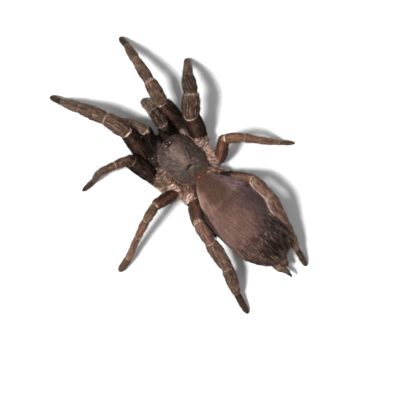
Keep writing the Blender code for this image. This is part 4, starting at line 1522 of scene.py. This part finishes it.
    def on_rims(self, limb: Limb, density: float, cell: tuple[int, int]) -> Roots:
        """Plant roots in narrow rows on the pale rims of a limb's joints.

        Args:
            limb: The limb.
            density: Roots to a millimetre of rim.
            cell: Which band of the unwrap the limb takes, and of how many.

        Returns:
            The roots, fewer where a rim is faint.
        """
        rng = self.rng()
        tube = self.skin.plan.named(limb.name)
        rows, thetas, faint = [], [], []
        numbers = np.arange(len(tube.place))
        for joint, strength in enumerate(limb.rings, start=1):
            at = np.interp(joint, tube.place, numbers)
            around = math.pi * float(tube.read(tube.wide + tube.high, np.array((at,)))[0]) / MM
            theta = np.radians(-20 + 220 * rng.random(int(around * density * self.RIM_SHARE)))
            arc = self.markings.rim_arc(limb, joint, theta) - 0.14 + 0.05 * rng.normal(0, 1, len(theta))
            rows.append(np.interp(arc, tube.arc, numbers))
            thetas.append(theta)
            patchy = 0.5 + 0.8 * STRANDS.over(theta * 3, joint * 9.0, limb.hip[0])
            faint.append(strength * patchy < rng.random(len(theta)))
        row, theta, faint = (np.concatenate(column) for column in (rows, thetas, faint))
        roots, _ = self.planted(tube, row, theta, cell, ~faint)
        roots.colours = np.tile(Markings.CREAM * 0.8, (len(roots.points), 1))
        return roots

    def on_shield(self, density: float, rim: bool = False) -> Roots:
        """Plant roots on the shield, or only along its rim.

        Args:
            density: Roots to a square millimetre, or to a millimetre of rim.
            rim: Whether to plant along the rim.

        Returns:
            The roots, whose hair points away from the pit.
        """
        rng = self.rng()
        if rim:
            count = int(density * self.SHIELD_GIRTH)
            edge = 0.97 + 0.03 * rng.random(count)
        else:
            count = int(density * self.SHIELD_AREA)
            edge = np.sqrt(rng.random(count)) * 0.985
        turn = rng.random(count) * 2 * math.pi
        points = self.shield.points(edge, turn)
        ahead = self.shield.points(np.minimum(edge + 0.02, 1.0), turn)
        beside = self.shield.points(edge, turn + 0.02)
        behind = self.shield.points(np.maximum(edge - 0.02, 0.0), turn)
        outward = unit(np.cross(beside - points, ahead - behind))
        outward *= np.sign(outward[:, 2:])
        pit = self.shield.origin + np.array((0, 0, points[:, 2].mean() - self.shield.origin[2]))
        lie = laid_on(unit(points - pit + np.array((0, -0.2 * MM, 0))), outward)
        unwrap = np.stack((0.5 + 0.47 * edge * np.sin(turn), 0.5 - 0.47 * edge * np.cos(turn)), axis=1)
        colours = self.markings.shield(points)
        return Roots(points, outward, lie, colours, unwrap, np.ones(count), np.zeros(count))


# ---- materials ----
class Nodes:
    """Shader node groups that several finishes share."""

    @staticmethod
    def group(name: str, inputs: dict[str, tuple[str, float]], outputs: dict[str, str]) -> NodeTree:
        """Make an empty node group with named sockets.

        Args:
            name: Name of the group.
            inputs: For each input, its socket type and default.
            outputs: For each output, its socket type.

        Returns:
            The group, with its two end nodes.
        """
        tree = bpy.data.node_groups.new(name, "ShaderNodeTree")
        for label, (kind, value) in inputs.items():
            socket = tree.interface.new_socket(label, in_out="INPUT", socket_type=kind)
            if kind == "NodeSocketFloat":
                socket.default_value = value
        for label, kind in outputs.items():
            tree.interface.new_socket(label, in_out="OUTPUT", socket_type=kind)
        tree.nodes.new("NodeGroupInput")
        tree.nodes.new("NodeGroupOutput")
        return tree

    @staticmethod
    def fill(tree: NodeTree, node: Node, inputs: dict) -> None:
        """Give each of a node's inputs, by name or number, its value or the output that feeds it."""
        for socket, value in inputs.items():
            if isinstance(value, NodeSocket):
                tree.links.new(value, node.inputs[socket])
            else:
                node.inputs[socket].default_value = value

    @staticmethod
    def add(tree: NodeTree, kind: str, inputs: dict, **settings: object) -> Node:
        """Add a node.

        Args:
            tree: The tree that takes it.
            kind: The end of its type's name.
            inputs: What its inputs get, as for fill.
            settings: Its own properties.

        Returns:
            The node.
        """
        node = tree.nodes.new(f"ShaderNode{kind}")
        for setting, value in settings.items():
            setattr(node, setting, value)
        Nodes.fill(tree, node, inputs)
        return node

    @staticmethod
    def hair_grain() -> None:
        """Make the group that varies a colour as fine hair does."""
        tree = Nodes.group("hair_grain", {
            "Colour": ("NodeSocketColor", 0), "Scale": ("NodeSocketFloat", 3000),
            "Amount": ("NodeSocketFloat", 0.25)}, {"Colour": "NodeSocketColor"})
        entry = tree.nodes["Group Input"].outputs
        place = Nodes.add(tree, "TexCoord", {}).outputs["Object"]
        noise = Nodes.add(tree, "TexNoise", {"Detail": 2.0, "Vector": place, "Scale": entry["Scale"]})
        centred = Nodes.add(tree, "Math", {0: noise.outputs["Fac"], 1: 0.5}, operation="SUBTRACT")
        swing = Nodes.add(tree, "Math", {0: centred.outputs[0], 1: entry["Amount"], 2: 1.0},
                          operation="MULTIPLY_ADD")
        tinted = Nodes.add(tree, "VectorMath", {0: entry["Colour"], "Scale": swing.outputs[0]},
                           operation="SCALE")
        Nodes.fill(tree, tree.nodes["Group Output"], {"Colour": tinted.outputs[0]})

    @staticmethod
    def fine_relief() -> None:
        """Make the group that gives the height of fine pits and ridges."""
        tree = Nodes.group("fine_relief", {
            "Scale": ("NodeSocketFloat", 6000), "Stretch": ("NodeSocketFloat", 1.0)},
            {"Height": "NodeSocketFloat"})
        entry = tree.nodes["Group Input"].outputs
        place = Nodes.add(tree, "TexCoord", {}).outputs["Object"]
        ridges = Nodes.add(tree, "TexNoise", {"Detail": 3.0, "Vector": place, "Scale": entry["Scale"]})
        pits = Nodes.add(tree, "TexVoronoi", {"Vector": place, "Scale": entry["Scale"]})
        both = Nodes.add(tree, "Math", {0: pits.outputs["Distance"], 1: entry["Stretch"],
                                        2: ridges.outputs["Fac"]}, operation="MULTIPLY_ADD")
        Nodes.fill(tree, tree.nodes["Group Output"], {"Height": both.outputs[0]})


@dataclass(frozen=True)
class Finish:
    """The finish of a surface: its colour comes from the markings or from one tint."""

    name: str
    roughness: float
    specular: float = 0.5
    sheen: float = 0.0
    sheen_tint: tuple[float, float, float] = (1.0, 0.9, 0.85)
    coat: float = 0.0
    grain: float = 0.0
    grain_scale: float = 2500.0
    relief: float = 0.0           # depth of the bump, mm
    relief_scale: float = 5000.0
    tint: Array | None = None

    def material(self) -> Material:
        """Build the material."""
        made = bpy.data.materials.new(self.name)
        made.use_nodes = True
        tree = made.node_tree
        if self.tint is None:
            colour = Nodes.add(tree, "Attribute", {}, attribute_name="Markings").outputs["Color"]
        else:
            colour = (*self.tint, 1.0)
        grain = Nodes.add(tree, "Group", {"Scale": self.grain_scale, "Amount": self.grain, "Colour": colour},
                          node_tree=bpy.data.node_groups["hair_grain"])
        shader = tree.nodes["Principled BSDF"]
        Nodes.fill(tree, shader, {
            "Base Color": grain.outputs["Colour"], "Roughness": self.roughness,
            "Specular IOR Level": self.specular, "Sheen Weight": self.sheen, "Sheen Roughness": 0.35,
            "Sheen Tint": (*self.sheen_tint, 1.0), "Coat Weight": self.coat, "Coat Roughness": 0.08})
        if self.relief:
            relief = Nodes.add(tree, "Group", {"Scale": self.relief_scale},
                               node_tree=bpy.data.node_groups["fine_relief"])
            bump = Nodes.add(tree, "Bump", {"Strength": 1.0, "Distance": self.relief * MM,
                                            "Height": relief.outputs["Height"]})
            Nodes.fill(tree, shader, {"Normal": bump.outputs["Normal"]})
        return made


SKIN_FINISH = Finish("skin", 0.70, 0.07, grain=0.5, relief=0.10, relief_scale=3500)
SHIELD_FINISH = Finish("shield", 0.55, 0.16, grain=0.35, relief=0.05, relief_scale=5200)
COAT_FINISH = Finish("coat", 0.55, 0.07, grain=0.25)
VELVET_FINISH = Finish("velvet_coat", 0.50, 0.16, 0.08, (1.0, 0.80, 0.74), grain=0.20)
EYE_FINISH = Finish("eyes", 0.10, 0.45, coat=0.6, grain=0.2)
FANG_FINISH = Finish("fangs", 0.16, 0.55, coat=0.6, grain=0.3, relief=0.01, tint=tint(24, 12, 9))


# ---- head details and claws ----
@dataclass
class Head:
    """The eye mound with its eight eyes, and the fangs."""

    shield: Shield
    origin: Array
    mound: tuple[float, float, float] = (3.1, 2.3, 0.95)     # width, depth and rise (mm)
    mound_y: float = -11.15
    # Lens colours of the AME, ALE, PLE and PME; the near-white PLE is pearly and also a painted highlight.
    lenses: tuple[Array, ...] = (tint(26, 17, 12), tint(122, 88, 60), tint(240, 222, 196),
                                tint(150, 120, 92))
    lens_rise: float = 0.30      # half height of a lens, mm
    base: float = 0.35           # how deep the mound is set in the shield, mm
    # Eyes of the left half: x, y forward of the mound's middle, half width, half depth, height.
    eyes: tuple = ((0.36, 0.28, 0.32, 0.32, 0.82), (0.96, 0.52, 0.31, 0.23, 0.52),
                   (1.02, -0.26, 0.34, 0.23, 0.52), (0.52, -0.48, 0.19, 0.15, 0.74))
    knuckle: tuple = (2.15, -16.3, 2.9, 0.55)     # where a fang leaves its jaw: x, y, z, radius
    # Beads of the left half: x, y and radius (mm).
    beads: tuple = ((6.2, -11.4, 0.26), (6.8, -10.9, 0.20), (7.4, -11.4, 0.25))

    BARE = 1.15                  # size of the bare skin with the mound, against the mound

    @classmethod
    def clear_of_eyes(cls, points: Array, origin: Array) -> Array:
        """Return which points are off the eye mound and the skin round it."""
        x = (points[:, 0] - origin[0]) / MM / (cls.mound[0] / 2)
        y = ((points[:, 1] - origin[1]) / MM - cls.mound_y) / (cls.mound[1] / 2)
        return np.hypot(x, y) > cls.BARE

    def base_height(self, x: float, y: float) -> float:
        """Return the shield's height (mm) at a point."""
        point = np.array(((x * MM, y * MM, 0.0),)) + self.origin
        return float(self.shield.height(np.array((x,)), np.array((y,)), self.shield.edge_of(point))[0])

    def mound_rise(self, x: float, y: float) -> float:
        """Return the mound's height above the shield (mm)."""
        wide, deep, rise = self.mound
        bulge = max(0.0, 1 - abs(2 * x / wide) ** 2.2 - abs(2 * y / deep) ** 2.2)
        return rise * bulge ** 0.55

    @staticmethod
    def ball(bm: BMesh, around: int, rows: int) -> list[BMVert]:
        """Add a sphere of radius 1 to a bmesh and return its vertices."""
        return bmesh.ops.create_uvsphere(bm, u_segments=around, v_segments=rows, radius=1.0)["verts"]

    def build_mound(self, finish: Material) -> Object:
        """Make the low mound that carries the eyes.

        Args:
            finish: Its material.

        Returns:
            The mound.
        """
        bm = bmesh.new()
        wide, deep, _ = self.mound
        for vert in self.ball(bm, 64, 32):
            x, y = vert.co.x * wide / 2, vert.co.y * deep / 2
            base = self.base_height(x, self.mound_y - y)
            if vert.co.z > 0:
                rise = self.mound_rise(x, y)
                for eye_x, eye_y, half_x, half_y, _ in self.eyes:
                    off = math.hypot((abs(x) - eye_x) / half_x, (y - eye_y) / half_y)
                    rise += 0.05 * math.exp(-((off - 1.35) / 0.25) ** 2) - 0.10 * max(0.0, 1 - off)
            else:
                rise = self.base * vert.co.z
            vert.co = Vector(self.origin) + Vector((x, self.mound_y - y, base + rise)) * MM
        bmesh.ops.recalc_face_normals(bm, faces=bm.faces)
        mesh = mesh_of("eye_mound", bm)
        speckle = 0.75 + 0.5 * MOTTLE.at(mesh_rows(mesh) / MM / 0.3)
        set_markings(mesh, tint(12, 9, 8) * speckle[:, None])
        return new_object("eye_mound", mesh, finish)

    def build_eyes(self, finish: Material) -> Object:
        """Make the eight glossy lenses, dark in the middle pair and pearly outside; the near-white rear outer
        pair is also a painted highlight.

        Args:
            finish: Their material.

        Returns:
            The lenses as one piece.
        """
        bm = bmesh.new()
        tints = []
        for sign in (-1, 1):
            for number, (x, y, half_x, half_y, height) in enumerate(self.eyes):
                base = self.base_height(sign * x, self.mound_y - y)
                centre = Vector((sign * x, self.mound_y - y, base + height))
                tilt = Matrix.Rotation(sign * 0.5 * x, 3, "Y")
                for vert in self.ball(bm, 24, 16):
                    out = math.hypot(vert.co.x, vert.co.y)
                    rim = 1 - 0.95 * float(ramp(np.array(out), 0.74, 0.92))
                    tints.append(self.lenses[number] * rim)
                    lens = Vector((vert.co.x * half_x, vert.co.y * half_y, vert.co.z * self.lens_rise))
                    vert.co = Vector(self.origin) + (centre + tilt @ lens) * MM
        mesh = mesh_of("eyes", bm)
        set_markings(mesh, np.array(tints))
        return new_object("eyes", mesh, finish)

    def build_condyles(self, tree: BVHTree, finish: Material) -> Object:
        """Return the small black beads on which the front limbs hinge beside the head, each with a painted
        glint on its top.

        Args:
            tree: The skin, on which the beads sit.
            finish: Their material.

        Returns:
            The beads as one piece.
        """
        bm = bmesh.new()
        tints = []
        for sign, (x, y, radius) in ((sign, bead) for sign in (-1, 1) for bead in self.beads):
            above = Vector(self.origin) + Vector((sign * x, y, 30.0)) * MM
            place, _, _, _ = tree.ray_cast(above, Vector((0, 0, -1)))
            for vert in self.ball(bm, 20, 12):
                # Painted glint: the top of each bead is painted pearly white.
                glint = ramp(np.array((vert.co.z,)), 0.55, 0.80)
                tints.append(blend(np.full(3, 0.008), self.lenses[2], glint)[0])
                vert.co = place + vert.co * radius * MM
        mesh = mesh_of("condyles", bm)
        set_markings(mesh, np.array(tints))
        return new_object("condyles", mesh, finish)

    def build_fang(self, side: str, finish: Material) -> Object:
        """Make one smooth curved fang, folded back under the head.

        Args:
            side: The side of the animal.
            finish: Its material.

        Returns:
            The fang.
        """
        sign = 1 if side == "left" else -1
        path = tuple((sign * x, y, z, radius, radius) for x, y, z, radius in (self.knuckle, *FANG_PATH))
        tube = swept_tube(f"fang_{side}", path, self.origin, 0.05, 0.2)
        bm = bmesh.new()
        tube.add_shell(bm, 20)
        bmesh.ops.recalc_face_normals(bm, faces=bm.faces)
        return new_object(f"fang_blade_{side}", mesh_of(f"fang_blade_{side}", bm), finish)


@dataclass
class Claws:
    """Two small hooked claws at the end of every leg."""

    plan: BodyPlan
    sizes: tuple[float, ...] = (0.12, 0.11, 0.10, 0.10)      # radii from the root to the point, mm
    spread: float = 0.22         # to each side of the foot's end, mm
    set_back: float = 0.45       # of the root behind the foot's end, mm
    rise: float = 0.30           # of the root above the foot's end, mm
    # How far ahead of the root and above it the hook runs, mm.
    hook: tuple = ((0.0, 0.0), (0.45, 0.06), (0.68, -0.16), (0.74, -0.42))

    def build(self, finish: Material) -> Object:
        """Make all the claws.

        Args:
            finish: Their material.

        Returns:
            The claws as one piece.
        """
        bm = bmesh.new()
        for limb in LIMBS:
            if limb.pair == 0:
                continue
            tube = self.plan.named(limb.name)
            tip = tube.centre[-1] / MM
            ahead = unit(np.array((tube.along[-1][0], tube.along[-1][1], 0.0)))
            side = np.array((-ahead[1], ahead[0], 0.0))
            for sign in (-1, 1):
                root = tip + side * sign * self.spread - ahead * self.set_back + UP * self.rise
                path = [root + ahead * out + UP * up for out, up in self.hook]
                stations = tuple((*point, size, size) for point, size in zip(path, self.sizes))
                swept_tube("claw", stations, np.zeros(3), 0.0, 0.08).add_shell(bm, 8)
        bmesh.ops.recalc_face_normals(bm, faces=bm.faces)
        return new_object("claws", mesh_of("claws", bm), finish)


# ---- stage ----
@dataclass
class Studio:
    """The pale floor, the soft light and the camera straight above."""

    origin: Array
    camera_place: tuple[float, float, float] = (5.65, 11.13, 750.0)     # from the origin, mm
    camera_right: tuple[float, float, float] = (-0.714, 0.700, 0.0)
    camera_up: tuple[float, float, float] = (-0.700, -0.714, 0.0)
    view_width: float = 144.0    # width of floor that the camera sees, mm
    sensor: float = 36.0
    floor_size: float = 2.0      # half its width, m
    floor_tone: float = 0.90
    sky: float = 0.26            # strength of the light from all round
    # Name, place to the camera's right, up and towards it (m), width (m) and power (W).
    lights: tuple = (("key", -0.38, -0.12, 0.85, 0.20, 14.0), ("fill", 0.35, 0.45, 0.70, 0.60, 1.2))

    def build(self) -> None:
        """Make the floor, the world, the lights and the camera."""
        bm = bmesh.new()
        bmesh.ops.create_grid(bm, x_segments=1, y_segments=1, size=self.floor_size)
        paint = bpy.data.materials.new("floor")
        paint.use_nodes = True
        tree = paint.node_tree
        Nodes.fill(tree, tree.nodes["Principled BSDF"], {
            "Base Color": (*(self.floor_tone,) * 3, 1.0), "Roughness": 0.9, "Specular IOR Level": 0.1})
        floor = new_object("floor", mesh_of("floor", bm), paint)

        scene = bpy.context.scene
        world = bpy.data.worlds.new("studio")
        world.use_nodes = True
        Nodes.fill(world.node_tree, world.node_tree.nodes["Background"],
                   {"Color": (1.0, 1.0, 1.0, 1.0), "Strength": self.sky})
        scene.world = world
        scene.view_settings.view_transform = "Standard"

        right, up = Vector(self.camera_right), Vector(self.camera_up)
        for name, across, ahead, height, size, power in self.lights:
            self.light(name, right * across + up * ahead + Vector((0, 0, height)), size, power)

        camera = bpy.data.objects.new("camera", bpy.data.cameras.new("camera"))
        scene.collection.objects.link(camera)
        place = Vector(self.origin) + Vector(self.camera_place) * MM
        axes = Matrix((right.normalized(), up.normalized(), Vector((0, 0, 1)))).transposed()
        camera.matrix_world = Matrix.Translation(place) @ axes.to_4x4()
        camera.data.sensor_width = self.sensor
        camera.data.lens = self.sensor * self.camera_place[2] / self.view_width
        camera.data.clip_start = 0.01
        scene.camera = camera

    def light(self, name: str, place: Vector, size: float, power: float) -> None:
        """Add a square soft light that points at the middle of the body.

        Args:
            name: Name of the light.
            place: Where it hangs, in metres.
            size: Length of its sides, in metres.
            power: Its power, in watts.
        """
        lamp = bpy.data.lights.new(name, "AREA")
        lamp.size = size
        lamp.energy = power
        holder = bpy.data.objects.new(name, lamp)
        bpy.context.scene.collection.objects.link(holder)
        holder.location = place
        holder.rotation_euler = (-place).to_track_quat("-Z", "Y").to_euler()


# ---- the animal ----
SHORT = Hair(19, 0.80, 0.13, 19, 12, 9, parted=True)
FOOT_HAIR = Hair(24, 0.60, 0.12, 17, 10, 10)
SETAE = Hair(2.6, 1.5, 0.09, 36, 8, 14, shade=0.45, pale=0.35)
LEG_TRESS = Hair(3.4, 1.9, 0.13, 13, 7, 4, dark=0.35, pale=0.28, parted=True)
SIDE_HAIR = Hair(12, 1.5, 0.13, 42, 12, 18, shade=0.35)
JAW_HAIR = Hair(30, 0.70, 0.12, 14, 9, 10)
RIM_HAIR = Hair(14, 0.26, 0.08, 10, 2, 6, shade=0.25, sink=0.02)
HIP_HAIR = Hair(13, 1.30, 0.12, 20, 10, 14, shade=0.35, dark=0.30, pale=0.10)
HIP_TRESS = Hair(7.5, 2.3, 0.15, 24, 14, 13, shade=0.30, dark=0.38, pale=0.38)
VELVET = Hair(24, 1.25, 0.16, 12, 8, 7, shade=0.24)
FRINGE_LOW = Hair(17, 2.5, 0.14, 52, 12, 14, shade=0.35)
LONG = Hair(12, 3.4, 0.16, 18, 9, 6, shade=0.30, dark=0.38, pale=0.26)
TAIL_HAIR = Hair(22, 1.1, 0.15, 26, 12, 12, shade=0.35, dark=0.2)
SHIELD_HAIR = Hair(44, 0.50, 0.10, 12, 8, 12, shade=0.50)
FRINGE = Hair(26, 1.5, 0.11, 10, 8, 20, shade=0.40, dark=0.35)


@dataclass
class Tarantula:
    """The whole animal: its skin, shield, head details, claws and coat."""

    frame: dict
    origin: Array = None
    count: int = 0               # pieces made so far

    FIRST_SEED, SEEDS_APART = 50, 7      # of the coat pieces' random values
    BOX_INSET = 0.02 * MM

    def keep(self, piece: Object, slot: str, *nodes: str) -> None:
        """Let a piece ride on the body and hide the nodes that it stands for."""
        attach(piece, "root")
        if nodes:
            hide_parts(*nodes)
        self.count += 1

    def build(self) -> None:
        """Make and dress every piece."""
        Nodes.hair_grain()
        Nodes.fine_relief()
        low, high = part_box("sternum")
        origin = np.array(((low.x + high.x) / 2, (low.y + high.y) / 2 - CORE_CENTRE_Y * MM, 0.0))
        self.origin = origin
        plan = BodyPlan(origin)
        plan.build()
        markings = Markings(origin)
        coat, velvet = COAT_FINISH.material(), VELVET_FINISH.material()

        skin = Skin(plan, markings)
        hard = {"carapace", "eye_tubercle", "fang_left", "fang_right"}
        flesh = [name for name in sorted(self.frame["nodes"]) if name not in hard]
        self.keep(skin.build(SKIN_FINISH.material()), "legs", *flesh)
        shield = Shield(origin, markings)
        hard_finish = SHIELD_FINISH.material()
        self.keep(shield.build(hard_finish), "carapace", "carapace")
        head = Head(shield, origin)
        self.keep(head.build_mound(hard_finish), "carapace", "eye_tubercle")
        eye_finish = EYE_FINISH.material()
        self.keep(head.build_eyes(eye_finish), "eyes")
        self.keep(head.build_condyles(skin.tree, eye_finish), "coxae")
        fang_finish = FANG_FINISH.material()
        for side in SIDES:
            self.keep(head.build_fang(side, fang_finish), "fangs", f"fang_{side}")
        self.keep(Claws(plan).build(fang_finish), "feet")
        self.groom(Groomer(skin, shield, markings), coat, velvet)

    def coat(self, name: str) -> Coat:
        """Return an empty coat piece that stays inside the solids' box."""
        low, high = (np.array(corner) for corner in cad_bounds)
        seed = self.FIRST_SEED + self.SEEDS_APART * self.count
        return Coat(name, (low + self.BOX_INSET, high - self.BOX_INSET), seed)

    def groom(self, groomer: Groomer, coat: Material, velvet: Material) -> None:
        """Grow the coat, piece by piece.

        Args:
            groomer: What plants the roots.
            coat: The material of the hair.
            velvet: The material of the hair on the abdomen's sides.
        """
        for pair in LEG_LENGTHS:
            piece = self.coat(f"coat_legs_{pair}")
            for k, side in enumerate(SIDES):
                groomer.dress_limb(piece, f"leg_{pair}_{side}", (k, 2))
            self.keep(piece.build(coat), "legs")
        piece = self.coat("coat_palps_jaws")
        for k, side in enumerate(SIDES):
            groomer.dress_limb(piece, f"palp_{side}", (k, 4))
            groomer.cover(piece, JAW_HAIR, f"jaw_{side}", (0.0, 1.0), (k + 2, 4))
        self.keep(piece.build(coat), "legs")
        piece = self.coat("coat_hips")
        groomer.dress_hips(piece)
        self.keep(piece.build(coat), "coxae")
        piece = self.coat("coat_shield")
        groomer.dress_shield(piece)
        self.keep(piece.build(coat), "carapace")
        for name, turns in (("coat_abdomen_left", (-90.0, 90.0)), ("coat_abdomen_right", (90.0, 270.0))):
            piece = self.coat(name)
            groomer.cover(piece, VELVET, "abdomen", (0.0, 1.0), (0, 1), turns)
            self.keep(piece.build(velvet), "abdomen")
        piece = self.coat("coat_abdomen_rear")
        groomer.dress_rear(piece)
        self.keep(piece.build(coat), "abdomen")


def main() -> None:
    """Dress the animal and set it on its stage."""
    logging.basicConfig(level=logging.INFO, format="%(message)s")
    animal = Tarantula(frame)
    animal.build()
    Studio(animal.origin).build()


if __name__ == "__main__":
    main()
